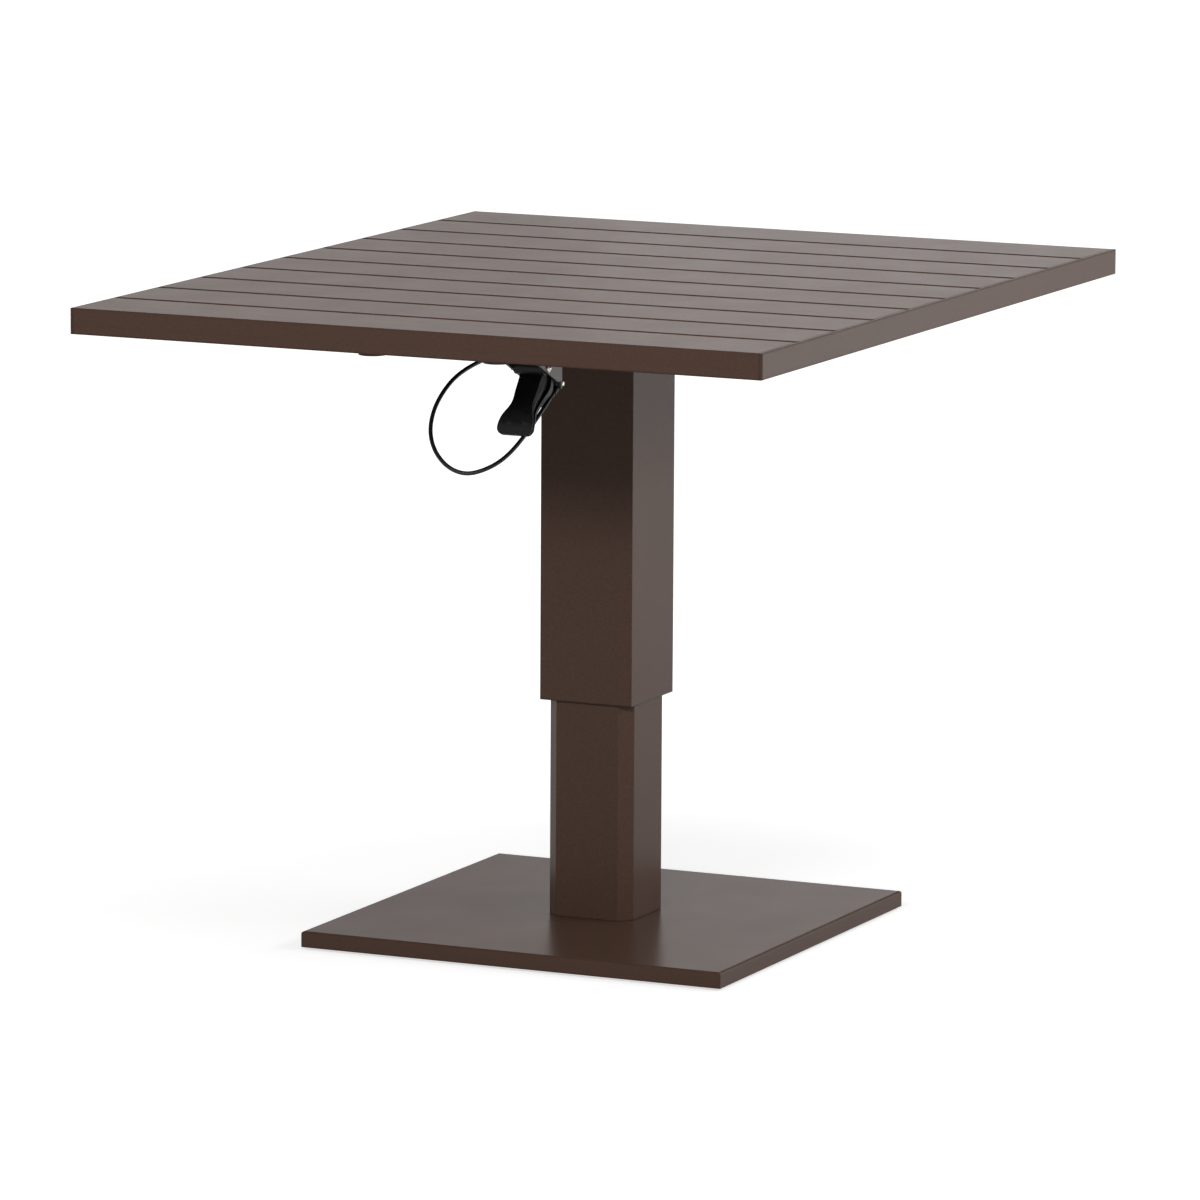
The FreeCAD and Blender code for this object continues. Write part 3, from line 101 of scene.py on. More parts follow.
# The moulded handle, in metres: its pivot, and sections down it as shares of drop, reach, depth and flare
HANDLE_PIVOT = (0.0725, -0.3525, 0.6735)
HANDLE_REACH = 44.0 * MM
HANDLE_DROP = 66.0 * MM
HANDLE_DEPTH = 26.0 * MM
HANDLE_NECK_WIDTH = 23.0 * MM
HANDLE_TIP_WIDTH = 41.0 * MM
HANDLE_TIP_RADIUS = 7.0 * MM
HANDLE_WALL = 3.0 * MM
HANDLE_HUB_DIAMETER = 16.0 * MM
HANDLE_HUB_LENGTH = 34.4 * MM
HANDLE_RIB_ASIDE = 9.0 * MM
HANDLE_RIB_WIDTH = 1.6 * MM
HANDLE_RIB_HEIGHT = 0.7 * MM
HANDLE_RIB_FADE = 2.0 * MM
HANDLE_STATION_SHARES = [
    (0.023, -0.125, 0.72, 0.42), (0.144, 0.025, 0.96, 0.40), (0.368, 0.289, 0.72, 0.30),
    (0.515, 0.466, 0.54, 0.22), (0.591, 0.584, 0.44, 0.33), (0.664, 0.705, 0.34, 0.60),
    (0.739, 0.795, 0.26, 0.84), (0.826, 0.877, 0.20, 0.98), (1.0, 0.984, 0.20, 1.0),
]
HANDLE_RIB_STATIONS = (3, 7)
HANDLE_ROWS = 60
HANDLE_TIP_ROWS = 14
HANDLE_TIP_FIRST_ANGLE = 0.1

# Shares of the handle's depth at each section: its facet, the groove and rim of its sides, and its face at
# its thickest; the groove's start is a multiple of the facet's depth
FACET_WIDTH_SHARE = 0.09
FACET_DEPTH_SHARE = 0.25
GROOVE_SHARE = 0.09
GROOVE_START = 1.2
RIM_OUT_SHARE = 0.07
RIM_DEPTH_SHARE = 0.28
FACE_LIMIT_SHARE = 0.6

# The arm behind the handle, with the lug that seats the sheath's end
LUG_SEAT = (0.0875, -0.3260, 0.6465)
LUG_DIAMETER = 7.4 * MM
LUG_BACK = 4.0 * MM
LUG_LENGTH = 9.0 * MM
ARM_WIDTH = 8.0 * MM
ARM_ASIDE = (8.5 * MM, 11.5 * MM)
BAR_SIDES = 40

# The pin that the handle turns on: outer faces of the bracket's cheeks, head and thin lock nut. The head's
# rim is a share of its height and its flat top one of its radius. The nut's bevel starts at a share of its
# height and leaves a face that is a share of its width
CHEEK_FACES = (0.0525, 0.0925)
PIVOT_DIAMETER = 6.0 * MM
PIVOT_HEAD_DIAMETER = 9.0 * MM
PIVOT_HEAD_HEIGHT = 3.4 * MM
PIVOT_HEAD_RIM_SHARE = 0.4
PIVOT_HEAD_FLAT_SHARE = 0.25
PIVOT_HEAD_STEPS = 8
LOCK_NUT_DIAMETER = 9.2 * MM
LOCK_NUT_HEIGHT = 2.4 * MM
LOCK_NUT_BEVEL_SHARE = 0.8
LOCK_NUT_FACE_SHARE = 0.85
LOCK_NUT_SIDES = 6
TURNED_STEP = 0.01 * MM

# Edges between faces that meet at more than these angles stay sharp, in degrees
METAL_SHARP_ANGLE = 35
PLASTIC_SHARP_ANGLE = 30
NUT_SHARP_ANGLE = 20

# The joints between the slats, in metres, and the strip beside each where a slat's edge turns down, fully
# matt over a share of its width
SLATS = 10
JOINTS = SLATS - 1
SLAT_PITCH = 99.0 * MM
FIRST_JOINT = -396.0 * MM
HALF_JOINT = 2.5 * MM
MATT_STRIP = 2.8 * MM
MATT_SHARE = 0.7
MATT_ROUGHNESS = 0.85

# The brown of the coat, and its mottle
COAT_COLORS = ("#523d34", "#5a453a")

# Most of a noise texture's values lie between these
NOISE_SPREAD = {"From Min": 0.3, "From Max": 0.7}

# Nodes whose finish isn't their slot's
NODE_FINISHES = {"slat_%02d" % (number + 1): "coated_slats" for number in range(SLATS)}
NODE_FINISHES["rail_end_caps"] = "brown_plastic"


def linear(code, alpha=1.0):
    """An sRGB hex colour as linear red, green, blue and alpha."""
    channels = [int(code[start:start + 2], 16) / 255 for start in (1, 3, 5)]
    return [c / 12.92 if c <= 0.04045 else ((c + 0.055) / 1.055) ** 2.4 for c in channels] + [alpha]


def add(tree, kind, sockets=None, **settings):
    """A node with its settings; each socket is given a value, or a link from another node's output."""
    item = tree.nodes.new(kind)
    for name, value in settings.items():
        setattr(item, name, value)
    for name, value in (sockets or {}).items():
        if isinstance(value, bpy.types.NodeSocket):
            tree.links.new(value, item.inputs[name])
        else:
            item.inputs[name].default_value = value
    return item


def new_material(name):
    """An empty node material and its tree."""
    material = bpy.data.materials.new(name)
    material.use_nodes = True
    material.node_tree.nodes.clear()
    return material, material.node_tree


def surface(tree, shader):
    """Links a shader to the material's output."""
    add(tree, "ShaderNodeOutputMaterial", {"Surface": shader.outputs[0]})


# Materials

def joint_share(tree, place):
    """How near a point lies to the closest slat joint along Y: 1 in the joint, 0 past the strip beside it."""
    y = add(tree, "ShaderNodeSeparateXYZ", {0: place}).outputs["Y"]
    counted = add(tree, "ShaderNodeMath", {0: y, 1: 1 / SLAT_PITCH, 2: -FIRST_JOINT / SLAT_PITCH},
                  operation="MULTIPLY_ADD")
    whole = add(tree, "ShaderNodeMath", {0: counted.outputs[0]}, operation="ROUND")
    nearest = add(tree, "ShaderNodeClamp", {"Value": whole.outputs[0], "Min": 0.0, "Max": JOINTS - 1.0})
    off = add(tree, "ShaderNodeMath", {0: counted.outputs[0], 1: nearest.outputs[0]}, operation="SUBTRACT")
    away = add(tree, "ShaderNodeMath", {0: off.outputs[0]}, operation="ABSOLUTE")
    share = add(tree, "ShaderNodeMapRange", {
        "Value": away.outputs[0], "From Min": (HALF_JOINT + MATT_SHARE * MATT_STRIP) / SLAT_PITCH,
        "From Max": (HALF_JOINT + MATT_STRIP) / SLAT_PITCH, "To Min": 1.0, "To Max": 0.0})
    return share.outputs[0]


def powder_coat(name, edge_mm, joints=False):
    """Polyester powder coat, sprayed and baked on metal.
    The eye sees a dark brown with a sand-fine grain, a little mottled, that turns grey where light grazes it.
    Edges look rounded over a few millimetres, and the slats' are matt beside their joints."""
    material, tree = new_material(name)
    place = add(tree, "ShaderNodeTexCoord").outputs["Object"]
    # A real coat's grain is a few tenths of a millimetre: it and the mottle are drawn coarser, to show
    grain_mm = 0.9
    mottle_mm = 1.7
    cloud_mm = 60.0
    base, pale = COAT_COLORS
    grain = add(tree, "ShaderNodeTexNoise", {
        "Vector": place, "Scale": 1 / (grain_mm * MM), "Detail": 2.0, "Roughness": 0.6})
    mottle = add(tree, "ShaderNodeTexNoise", {
        "Vector": place, "Scale": 1 / (mottle_mm * MM), "Detail": 2.0, "Roughness": 0.6})
    cloud = add(tree, "ShaderNodeTexNoise", {"Vector": place, "Scale": 1 / (cloud_mm * MM), "Detail": 3.0})
    spread = add(tree, "ShaderNodeMapRange", {"Value": mottle.outputs["Fac"], **NOISE_SPREAD})
    color = add(tree, "ShaderNodeMix", {0: spread.outputs[0], 6: linear(base), 7: linear(pale)},
                data_type="RGBA")
    rough = add(tree, "ShaderNodeMapRange", {
        "Value": cloud.outputs["Fac"], **NOISE_SPREAD, "To Min": 0.28, "To Max": 0.3})
    if joints:
        share = joint_share(tree, place)
        rough = add(tree, "ShaderNodeMix", {0: share, 2: rough.outputs[0], 3: MATT_ROUGHNESS})
    rounded = add(tree, "ShaderNodeBevel", {"Radius": edge_mm * MM}, samples=4)
    bump = add(tree, "ShaderNodeBump", {
        "Height": grain.outputs["Fac"], "Strength": 0.3, "Distance": 0.12 * MM, "Normal": rounded.outputs[0]})
    shader = add(tree, "ShaderNodeBsdfPrincipled", {
        "Base Color": color.outputs[2], "Roughness": rough.outputs[0], "Normal": bump.outputs[0],
        "Specular IOR Level": 0.115, "IOR": 1.5})
    surface(tree, shader)
    return material


def plated_steel(name, color, roughness, cloud_mm):
    """Zinc, nickel, chrome or a black passivated skin on pressed or turned steel.
    The eye sees a cool metal with soft, slightly cloudy reflections."""
    smoothest_share, roughest_share = 0.8, 1.25
    material, tree = new_material(name)
    place = add(tree, "ShaderNodeTexCoord").outputs["Object"]
    cloud = add(tree, "ShaderNodeTexNoise", {"Vector": place, "Scale": 1 / (cloud_mm * MM), "Detail": 4.0})
    rough = add(tree, "ShaderNodeMapRange", {
        "Value": cloud.outputs["Fac"], **NOISE_SPREAD, "To Min": roughness * smoothest_share,
        "To Max": roughness * roughest_share})
    bump = add(tree, "ShaderNodeBump", {
        "Height": cloud.outputs["Fac"], "Strength": 0.15, "Distance": 0.05 * MM})
    shader = add(tree, "ShaderNodeBsdfPrincipled", {
        "Base Color": linear(color), "Metallic": 1.0, "Roughness": rough.outputs[0],
        "Normal": bump.outputs[0]})
    surface(tree, shader)
    return material


def moulded_plastic(name, color, roughness, grain_mm, gloss):
    """Nylon or polypropylene, injection moulded in a spark-eroded tool; stoved enamel has a like skin.
    The eye sees an even dark colour with a fine grain that breaks up its highlights."""
    material, tree = new_material(name)
    place = add(tree, "ShaderNodeTexCoord").outputs["Object"]
    wear_mm = 12.0
    wear_range = 0.06
    # A real tool leaves a finer grain: it is drawn coarser, to show
    grain = add(tree, "ShaderNodeTexVoronoi", {"Vector": place, "Scale": 1 / (grain_mm * MM)})
    wear = add(tree, "ShaderNodeTexNoise", {"Vector": place, "Scale": 1 / (wear_mm * MM), "Detail": 3.0})
    rough = add(tree, "ShaderNodeMapRange", {
        "Value": wear.outputs["Fac"], **NOISE_SPREAD, "To Min": roughness - wear_range,
        "To Max": roughness + wear_range})
    bump = add(tree, "ShaderNodeBump", {
        "Height": grain.outputs["Distance"], "Strength": 0.3, "Distance": 0.1 * MM})
    shader = add(tree, "ShaderNodeBsdfPrincipled", {
        "Base Color": linear(color), "Roughness": rough.outputs[0], "Normal": bump.outputs[0], "IOR": 1.49,
        "Specular IOR Level": gloss})
    surface(tree, shader)
    return material


def cable_sheath(name):
    """Plasticised PVC, extruded over the cable's steel lining.
    The eye sees a smooth black cord with a soft long highlight and faint draw lines."""
    material, tree = new_material(name)
    lines_around = 14.0
    line_mm = 30.0
    around = add(tree, "ShaderNodeUVMap", uv_map="sheath").outputs[0]
    stretched = add(tree, "ShaderNodeMapping", {
        "Vector": around, "Scale": (lines_around, 1 / (line_mm * MM), 1.0)})
    lines = add(tree, "ShaderNodeTexNoise", {"Vector": stretched.outputs[0], "Scale": 1.0, "Detail": 3.0})
    rough = add(tree, "ShaderNodeMapRange", {
        "Value": lines.outputs["Fac"], **NOISE_SPREAD, "To Min": 0.34, "To Max": 0.44})
    bump = add(tree, "ShaderNodeBump", {
        "Height": lines.outputs["Fac"], "Strength": 0.12, "Distance": 0.1 * MM})
    shader = add(tree, "ShaderNodeBsdfPrincipled", {
        "Base Color": linear("#111112"), "Roughness": rough.outputs[0], "Normal": bump.outputs[0],
        "IOR": 1.53, "Specular IOR Level": 0.3})
    surface(tree, shader)
    return material


def finish_nodes():
    """Gives every CAD node its finish."""
    finishes = {
        "coated_aluminium": powder_coat("powder_coat_on_aluminium", edge_mm=4.0),
        "coated_slats": powder_coat("powder_coat_on_slats", edge_mm=4.0, joints=True),
        "coated_steel": powder_coat("powder_coat_on_steel", edge_mm=2.6),
        "dark_steel": plated_steel("black_passivated_steel", "#5c5a5a", roughness=0.5, cloud_mm=0.9),
        "zinc_steel": plated_steel("zinc_plated_steel", "#7c7b79", roughness=0.42, cloud_mm=5.0),
        "bright_steel": plated_steel("nickel_plated_steel", "#c9c4bb", roughness=0.24, cloud_mm=3.0),
        "chromed_rod": plated_steel("hard_chromed_steel", "#d6d6d6", roughness=0.08, cloud_mm=8.0),
        "painted_cylinder": moulded_plastic(
            "black_stoved_enamel", "#121212", roughness=0.3, grain_mm=1.2, gloss=0.5),
        "moulded_plastic": moulded_plastic(
            "moulded_nylon", "#121214", roughness=0.5, grain_mm=0.7, gloss=0.35),
        "handle_plastic": moulded_plastic(
            "moulded_polypropylene", "#0b0a0c", roughness=0.46, grain_mm=0.8, gloss=0.25),
        "cable_sheath": cable_sheath("extruded_sheath"),
        "brown_plastic": moulded_plastic(
            "moulded_brown_nylon", "#4b382f", roughness=0.5, grain_mm=0.7, gloss=0.35),
    }
    for entry in frame["record"]["subparts"]:
        shown = frame["nodes"][entry["node"]].data
        shown.materials.clear()
        shown.materials.append(finishes[NODE_FINISHES.get(entry["node"], entry["material_slot"])])
    return finishes


# Lines and grids

def smooth_line(name, route):
    """Points along the smooth line that a route's points control: a quadratic NURBS curve clamped at both
    ends."""
    curve = bpy.data.curves.new(name, "CURVE")
    curve.dimensions = "3D"
    spline = curve.splines.new("NURBS")
    spline.points.add(len(route) - 1)
    for point, place in zip(spline.points, route):
        point.co = (*place, 1.0)
    spline.order_u = 3
    spline.use_endpoint_u = True
    spline.resolution_u = CABLE_STEPS
    holder = bpy.data.objects.new(name, curve)
    line = bpy.data.meshes.new_from_object(holder)
    points = np.empty(len(line.vertices) * 3)
    line.vertices.foreach_get("co", points)
    bpy.data.objects.remove(holder)
    bpy.data.curves.remove(curve)
    bpy.data.meshes.remove(line)
    return points.reshape(-1, 3)


def through(places, values, at):
    """Values along a line: cubic pieces through the ones at the given places, with slopes from their
    neighbours."""
    slopes = np.gradient(values, places)
    piece = np.clip(np.searchsorted(places, at, side="right") - 1, 0, len(places) - 2)
    step = places[piece + 1] - places[piece]
    t = (at - places[piece]) / step
    return ((1 + 2 * t) * (1 - t) ** 2 * values[piece] + t * (1 - t) ** 2 * step * slopes[piece]
            + t ** 2 * (3 - 2 * t) * values[piece + 1] - t ** 2 * (1 - t) * step * slopes[piece + 1])


def frames_along(points):
    """Unit directions of a line of points, and two sides across each that turn as little as possible."""
    ahead = np.gradient(points, axis=0)
    ahead /= np.linalg.norm(ahead, axis=1, keepdims=True)
    side = np.eye(3)[np.abs(ahead[0]).argmin()]
    sides = []
    for direction in ahead:
        side = side - direction * (side @ direction)
        side = side / np.linalg.norm(side)
        sides.append(side)
    sides = np.array(sides)
    return ahead, sides, np.cross(ahead, sides)


def grid_mesh(name, grids, wrap, caps):
    """A mesh from grids of points (rows, columns, xyz): each one's columns joined in a ring if wrap, its end
    rows closed if caps. Faces go row by row, column by column, each from two neighbours in both."""
    places = []
    faces = []
    for grid in grids:
        rows, columns = grid.shape[:2]
        first = len(places)
        index = first + np.arange(rows * columns).reshape(rows, columns)
        right = np.roll(index, -1, axis=1)
        if not wrap:
            index, right = index[:, :-1], right[:, :-1]
        faces += np.stack([index[:-1], right[:-1], right[1:], index[1:]], axis=-1).reshape(-1, 4).tolist()
        if caps:
            faces.append(list(range(first, first + columns))[::-1])
            faces.append(list(range(first + (rows - 1) * columns, first + rows * columns)))
        places += grid.reshape(-1, 3).tolist()
    mesh = bpy.data.meshes.new(name)
    mesh.from_pydata(places, [], faces)
    mesh.shade_smooth()
    piece = bpy.data.objects.new(name, mesh)
    bpy.context.scene.collection.objects.link(piece)
    return piece


def tube_grid(points, radii, sides):
    """Points of a round tube along a line: centre + radius * (side * cos angle + other side * sin angle),
    angle by columns."""
    _, across, other = frames_along(points)
    angle = np.linspace(0, 2 * np.pi, sides, endpoint=False)[None, :, None]
    ring = across[:, None] * np.cos(angle) + other[:, None] * np.sin(angle)
    return points[:, None] + radii[:, None, None] * ring


def tube(name, points, radii, sides, uv_name):
    """A round tube along a line. Its UV map holds the share of a turn and the distance along the line in
    metres."""
    piece = grid_mesh(name, [tube_grid(points, radii, sides)], wrap=True, caps=True)
    along = np.concatenate([[0], np.cumsum(np.linalg.norm(np.diff(points, axis=0), axis=1))])
    mesh = piece.data
    corners = np.empty(len(mesh.loops), int)
    mesh.loops.foreach_get("vertex_index", corners)
    turn = (corners % sides) / sides
    number = np.arange(len(corners))
    on_side = number < 4 * sides * (len(points) - 1)
    at_seam = (number // 4 % sides == sides - 1) & on_side & (turn == 0)
    turn = np.where(at_seam, 1.0, turn)
    layer = mesh.uv_layers.new(name=uv_name)
    layer.data.foreach_set("uv", np.stack([turn, along[corners // sides]], axis=1).ravel())
    return piece


def bar(start, end, radius):
    """A round bar between two points."""
    line = np.array([start, end])
    return tube_grid(line, np.full(len(line), radius), BAR_SIDES)


def turned(places, radii, y, z, sides):
    """A turned shape about a line along X: a radius at each place on it."""
    line = np.stack([places, np.full_like(places, y), np.full_like(places, z)], axis=1)
    return tube_grid(line, radii, sides)


# Cable

def release_cable(finishes):
    """The black sheath between the lever and the column, built as one fixed shape; on the real table its end
    at the lever moves with the lever.
    """
    points = smooth_line("release_cable_line", CABLE_ROUTE)
    radii = np.full(len(points), CABLE_DIAMETER / 2)
    cable = tube("release_cable_sheath", points, radii, CABLE_SIDES, "sheath")
    cable.data.materials.append(finishes["cable_sheath"])
    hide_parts("release_cable")
    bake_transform(cable)


def lever_wire(finishes):
    """The bare wire at the lever: six strands wound round a straight one, on a barrel nipple with bevelled
    ends. A wound strand's centre: axis point + a third of the wire's width * (side * cos angle + other side *
    sin angle), with the angle growing by a turn for each lay length."""
    start, end = np.array(WIRE_ANCHOR), np.array(WIRE_END)
    along = np.linspace(0.0, 1.0, WIRE_STEPS)[:, None]
    axis = start + (end - start) * along
    _, across, other = frames_along(axis)
    thickness = np.full(len(axis), WIRE_DIAMETER / 6)
    grids = [tube_grid(axis, thickness, STRAND_SIDES)]
    turns = np.linalg.norm(end - start) * along / WIRE_LAY
    for strand in range(WIRE_STRANDS):
        angle = 2 * np.pi * (turns + strand / WIRE_STRANDS)
        wound = axis + WIRE_DIAMETER / 3 * (across * np.cos(angle) + other * np.sin(angle))
        grids.append(tube_grid(wound, thickness, STRAND_SIDES))
    x, y, z = WIRE_ANCHOR
    half = NIPPLE_LENGTH / 2
    radius = NIPPLE_DIAMETER / 2
    places = x + np.array([-half, NIPPLE_BEVEL - half, half - NIPPLE_BEVEL, half])
    radii = np.array([radius - NIPPLE_BEVEL, radius, radius, radius - NIPPLE_BEVEL])
    grids.append(turned(places, radii, y, z, NIPPLE_SIDES))
    wire = grid_mesh("lever_wire_strands", grids, wrap=True, caps=True)
    wire.data.set_sharp_from_angle(angle=math.radians(METAL_SHARP_ANGLE))
    wire.data.materials.append(finishes["bright_steel"])
    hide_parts("lever_wire")
    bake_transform(wire)


# Lever

def handle_section(half, depth, rib, past):
    """Half of the handle's section by columns, from the middle of its face round to the middle of its hollow:
    across and back, each a row of sizes along the handle. The face ends in a facet; behind it the side wall
    has a groove and an outward rim. Both run out over the way past the start of the tip, which a wall
    closes."""
    side = 1 - past / HANDLE_TIP_RADIUS
    facet = half - depth * FACET_WIDTH_SHARE
    facet_end = depth * FACET_DEPTH_SHARE
    groove = half - depth * GROOVE_SHARE * side
    rim_front = depth * (1 - RIM_DEPTH_SHARE)
    rim = half + depth * RIM_OUT_SHARE * side
    inside = half - depth * GROOVE_SHARE - HANDLE_WALL
    face_wall = np.minimum(HANDLE_WALL, depth * FACE_LIMIT_SHARE)
    floor = np.where(past > HANDLE_TIP_RADIUS - HANDLE_WALL, depth, face_wall)
    rib_at = np.minimum(HANDLE_RIB_ASIDE, facet - HANDLE_RIB_WIDTH)
    rib_edge = HANDLE_RIB_WIDTH / 2
    rib_crest = HANDLE_RIB_WIDTH / 4
    none = np.zeros_like(half)
    across = [none, rib_at - rib_edge, rib_at - rib_crest, rib_at + rib_crest, rib_at + rib_edge, facet, half,
              groove, groove, rim, rim, inside, inside, none]
    back = [none, none, -rib, -rib, none, none, facet_end, facet_end * GROOVE_START, rim_front, rim_front,
            depth, depth, floor, floor]
    return np.stack(across, axis=1), np.stack(back, axis=1)


def handle_grid():
    """The handle's shell: its section carried down a curved line through the stations, square to the line.
    Near the tip the half width shrinks by the tip radius less a circle's height: radius - sqrt(radius^2 -
    (past its start)^2)."""
    shares = np.array(HANDLE_STATION_SHARES)
    line = np.stack([-HANDLE_REACH * shares[:, 1], -HANDLE_DROP * shares[:, 0]], axis=1)
    places = np.concatenate([[0], np.cumsum(np.linalg.norm(np.diff(line, axis=0), axis=1))])
    tip = places[-1] - HANDLE_TIP_RADIUS
    tip_angles = np.linspace(HANDLE_TIP_FIRST_ANGLE, np.pi / 2, HANDLE_TIP_ROWS)
    at = np.concatenate([np.linspace(0, tip, HANDLE_ROWS), tip + HANDLE_TIP_RADIUS * np.sin(tip_angles)])
    y, z = through(places, line[:, 0], at), through(places, line[:, 1], at)
    depth = HANDLE_DEPTH * through(places, shares[:, 2], at)
    flare = through(places, shares[:, 3], at)
    past = np.clip(at - tip, 0, HANDLE_TIP_RADIUS)
    corner = HANDLE_TIP_RADIUS - np.sqrt(HANDLE_TIP_RADIUS ** 2 - past ** 2)
    half = (HANDLE_NECK_WIDTH + (HANDLE_TIP_WIDTH - HANDLE_NECK_WIDTH) * flare) / 2 - corner
    first, last = (places[index] for index in HANDLE_RIB_STATIONS)
    rib = HANDLE_RIB_HEIGHT * np.clip(np.minimum(at - first, last - at) / HANDLE_RIB_FADE, 0, 1)
    across, back = handle_section(half, depth, rib, past)
    across = np.concatenate([across, -across[:, -2:0:-1]], axis=1)
    back = np.concatenate([back, back[:, -2:0:-1]], axis=1)
    lean = np.arctan2(-np.gradient(y, at), -np.gradient(z, at))[:, None]
    pivot_x, pivot_y, pivot_z = HANDLE_PIVOT
    return np.stack([pivot_x + across, pivot_y + y[:, None] + np.cos(lean) * back,
                     pivot_z + z[:, None] - np.sin(lean) * back], axis=-1)


def lever_handle(finishes):
    """The moulded handle: shell, hub on the pivot, and an arm with the lug that seats the cable's end."""
    pivot, lug = np.array(HANDLE_PIVOT), np.array(LUG_SEAT)
    half_hub = np.array([HANDLE_HUB_LENGTH / 2, 0, 0])
    hub = bar(pivot - half_hub, pivot + half_hub, HANDLE_HUB_DIAMETER / 2)
    forward = np.array(WIRE_END) - np.array(WIRE_ANCHOR)
    forward /= np.linalg.norm(forward)
    lug_start = lug - forward * LUG_BACK
    seat = bar(lug_start, lug_start + forward * LUG_LENGTH, LUG_DIAMETER / 2)
    middle = np.array([0.0, *pivot[1:]])
    reach = np.array([0.0, *lug[1:]]) - middle
    aside = np.cross(reach / np.linalg.norm(reach), (1.0, 0.0, 0.0)) * ARM_WIDTH / 2
    outline = np.stack([middle - aside, middle + reach - aside, middle + reach + aside, middle + aside])
    arm = np.stack([outline + np.array([pivot[0] + x, 0, 0]) for x in ARM_ASIDE])
    handle = grid_mesh("lever_handle_moulding", [handle_grid(), hub, seat, arm], wrap=True, caps=True)
    handle.data.set_sharp_from_angle(angle=math.radians(PLASTIC_SHARP_ANGLE))
    handle.data.materials.append(finishes["handle_plastic"])
    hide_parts("lever_handle")
    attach(handle, "lever")


def pivot_pin(finishes):
    """The bright pin through bracket and hub, with a low cone-topped head on one cheek and a thin dark lock
    nut on the other: radii at places along its axis. The cone's height grows by 1 - cos angle as its radius
    shrinks by cos angle, in steps that are closest at its rim."""
    _, y, z = HANDLE_PIVOT
    left, right = CHEEK_FACES
    head, shank = PIVOT_HEAD_DIAMETER / 2, PIVOT_DIAMETER / 2
    rim, flat = PIVOT_HEAD_RIM_SHARE, PIVOT_HEAD_FLAT_SHARE
    angle = np.linspace(0.0, np.pi / 2, PIVOT_HEAD_STEPS)[1:]
    places = [left - LOCK_NUT_HEIGHT, right - TURNED_STEP, right]
    places = np.concatenate([places, right + PIVOT_HEAD_HEIGHT * (rim + (1 - rim) * (1 - np.cos(angle)))])
    radii = np.concatenate([[shank, shank, head], head * (flat + (1 - flat) * np.cos(angle))])
    pin = grid_mesh("pivot_pin_turned", [turned(places, radii, y, z, BAR_SIDES)], wrap=True, caps=True)
    pin.data.set_sharp_from_angle(angle=math.radians(METAL_SHARP_ANGLE))
    pin.data.materials.append(finishes["bright_steel"])
    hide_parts("pivot_bolt")
    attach(pin, "top")
    places = left - LOCK_NUT_HEIGHT * np.array([1.0, LOCK_NUT_BEVEL_SHARE, 0.0])
    radii = LOCK_NUT_DIAMETER / 2 * np.array([LOCK_NUT_FACE_SHARE, 1.0, 1.0])
    nut = grid_mesh("pivot_lock_nut", [turned(places, radii, y, z, LOCK_NUT_SIDES)], wrap=True, caps=True)
    nut.data.set_sharp_from_angle(angle=math.radians(NUT_SHARP_ANGLE))
    nut.data.materials.append(finishes["dark_steel"])
    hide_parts("pivot_nut")
    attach(nut, "top")


# Stage, light and camera

def ray_kinds(tree):
    """Two values of 0 or 1: whether a ray comes from the camera, and whether gloss or a clear piece sent it
    on."""
    path = add(tree, "ShaderNodeLightPath")
    sent_on = add(tree, "ShaderNodeMath", {
        0: path.outputs["Is Glossy Ray"], 1: path.outputs["Is Transmission Ray"]}, operation="MAXIMUM")
    return path.outputs["Is Camera Ray"], sent_on.outputs[0]


def studio_floor():
    """A large pale floor that runs to white away from the table, keeps its soft shadow, and throws back
    little light."""
    reach = 40.0
    near_share = 0.66
    shown_from, shown_to = 0.45, 1.5
    mirrored_near_share, mirrored_far_share = 0.4, 0.64
    mirrored_from, mirrored_to = 0.4, 2.6
    side = np.array([-reach, reach])
    x, y = np.meshgrid(side, side)
    floor = grid_mesh("studio_floor", [np.stack([x, y, np.zeros_like(x)], axis=-1)], wrap=False, caps=False)
    material, tree = new_material("pale_studio_floor")
    from_camera, sent_on = ray_kinds(tree)
    place = add(tree, "ShaderNodeTexCoord").outputs["Object"]
    away = add(tree, "ShaderNodeVectorMath", {0: place}, operation="LENGTH").outputs["Value"]
    lift = add(tree, "ShaderNodeMapRange", {
        "Value": away, "From Min": shown_from, "From Max": shown_to, "To Min": near_share},
        interpolation_type="SMOOTHSTEP")
    shown = add(tree, "ShaderNodeMath", {0: from_camera, 1: lift.outputs[0]}, operation="MULTIPLY")
    in_gloss = add(tree, "ShaderNodeMapRange", {
        "Value": away, "From Min": mirrored_from, "From Max": mirrored_to, "To Min": mirrored_near_share,
        "To Max": mirrored_far_share}, interpolation_type="SMOOTHSTEP")
    mirrored = add(tree, "ShaderNodeMath", {0: sent_on, 1: in_gloss.outputs[0], 2: shown.outputs[0]},
                   operation="MULTIPLY_ADD")
    seen = add(tree, "ShaderNodeMath", {0: from_camera, 1: sent_on}, operation="MAXIMUM")
    tone = add(tree, "ShaderNodeMix", {0: seen.outputs[0], 6: linear("#b4b4b4"), 7: linear("#d8d8d8")},
               data_type="RGBA")
    pale = add(tree, "ShaderNodeBsdfDiffuse", {"Color": tone.outputs[2]})
    glow = add(tree, "ShaderNodeEmission", {"Color": linear("#ffffff"), "Strength": mirrored.outputs[0]})
    both = add(tree, "ShaderNodeAddShader", {0: pale.outputs[0], 1: glow.outputs[0]})
    surface(tree, both)
    floor.data.materials.append(material)


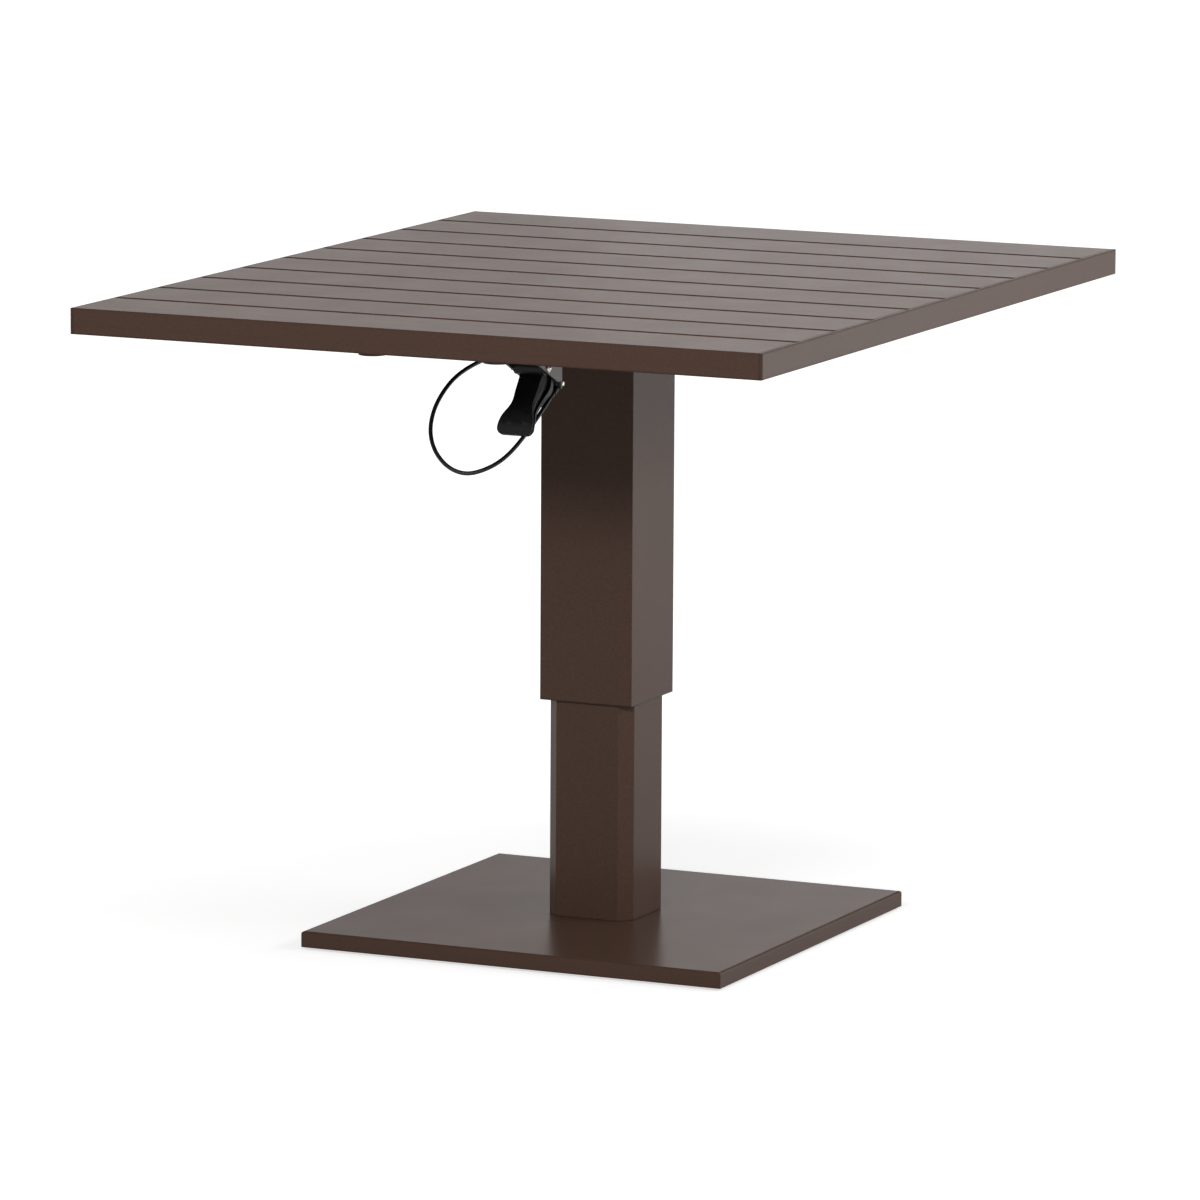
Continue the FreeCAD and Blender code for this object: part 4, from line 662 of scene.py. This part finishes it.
def studio_world():
    """A surround that is white where the camera sees it, and in gloss a warm white low down under a dark
    ceiling; its own light on the table is dimmer."""
    surround_share = 0.16
    white_below, dark_above = 0.2, 0.32
    world = bpy.data.worlds.new("studio")
    world.use_nodes = True
    tree = world.node_tree
    tree.nodes.clear()
    from_camera, sent_on = ray_kinds(tree)
    direction = add(tree, "ShaderNodeTexCoord").outputs["Generated"]
    height = add(tree, "ShaderNodeSeparateXYZ", {0: direction}).outputs["Z"]
    ceiling = add(tree, "ShaderNodeMapRange", {
        "Value": height, "From Min": white_below, "From Max": dark_above, "To Min": 1.0, "To Max": 0.0},
        interpolation_type="SMOOTHSTEP")
    mirrored = add(tree, "ShaderNodeMix", {0: sent_on, 2: surround_share, 3: ceiling.outputs[0]})
    strength = add(tree, "ShaderNodeMath", {0: mirrored.outputs[0], 1: from_camera}, operation="MAXIMUM")
    tone = add(tree, "ShaderNodeMix", {0: sent_on, 6: linear("#ffffff"), 7: linear("#fff8f6")},
               data_type="RGBA")
    back = add(tree, "ShaderNodeBackground", {"Color": tone.outputs[2], "Strength": strength.outputs[0]})
    add(tree, "ShaderNodeOutputWorld", {"Surface": back.outputs[0]})
    bpy.context.scene.world = world


def soft_box(name, place, aim, width, height, power):
    """A rectangular soft light at a place, turned to a point."""
    lamp = bpy.data.lights.new(name, "AREA")
    lamp.shape = "RECTANGLE"
    lamp.size = width
    lamp.size_y = height
    lamp.energy = power
    holder = bpy.data.objects.new(name, lamp)
    holder.location = place
    holder.rotation_euler = (Vector(aim) - Vector(place)).to_track_quat("-Z", "Y").to_euler()
    holder.visible_camera = False
    bpy.context.scene.collection.objects.link(holder)


def photo_camera():
    """The camera at the photograph's place: turned about the target, rolled, and shifted across its view."""
    turn, lift, roll = (math.radians(value) for value in (CAMERA_AZIMUTH, CAMERA_ELEVATION, CAMERA_ROLL))
    back = Vector((math.sin(turn) * math.cos(lift), -math.cos(turn) * math.cos(lift), math.sin(lift)))
    right = Vector((math.cos(turn), math.sin(turn), 0.0))
    up = back.cross(right)
    across = right * math.cos(roll) + up * math.sin(roll)
    upright = up * math.cos(roll) - right * math.sin(roll)
    place = Vector(CAMERA_TARGET) - across * CAMERA_ASIDE + upright * CAMERA_DOWN + back * CAMERA_DISTANCE
    lens = bpy.data.cameras.new("photo_camera")
    lens.sensor_width = SENSOR_WIDTH
    lens.lens = CAMERA_FOCAL_PX / PHOTO_SIDE_PX * SENSOR_WIDTH
    lens.clip_end = 200.0
    camera = bpy.data.objects.new("photo_camera", lens)
    facing = Matrix((across, upright, back)).transposed().to_4x4()
    camera.matrix_world = Matrix.Translation(place) @ facing
    bpy.context.scene.collection.objects.link(camera)
    bpy.context.scene.camera = camera


finishes = finish_nodes()
release_cable(finishes)
lever_wire(finishes)
lever_handle(finishes)
pivot_pin(finishes)
studio_floor()
studio_world()
for box in SOFT_BOXES:
    soft_box(*box)
photo_camera()
bpy.context.scene.view_settings.view_transform = "Standard"
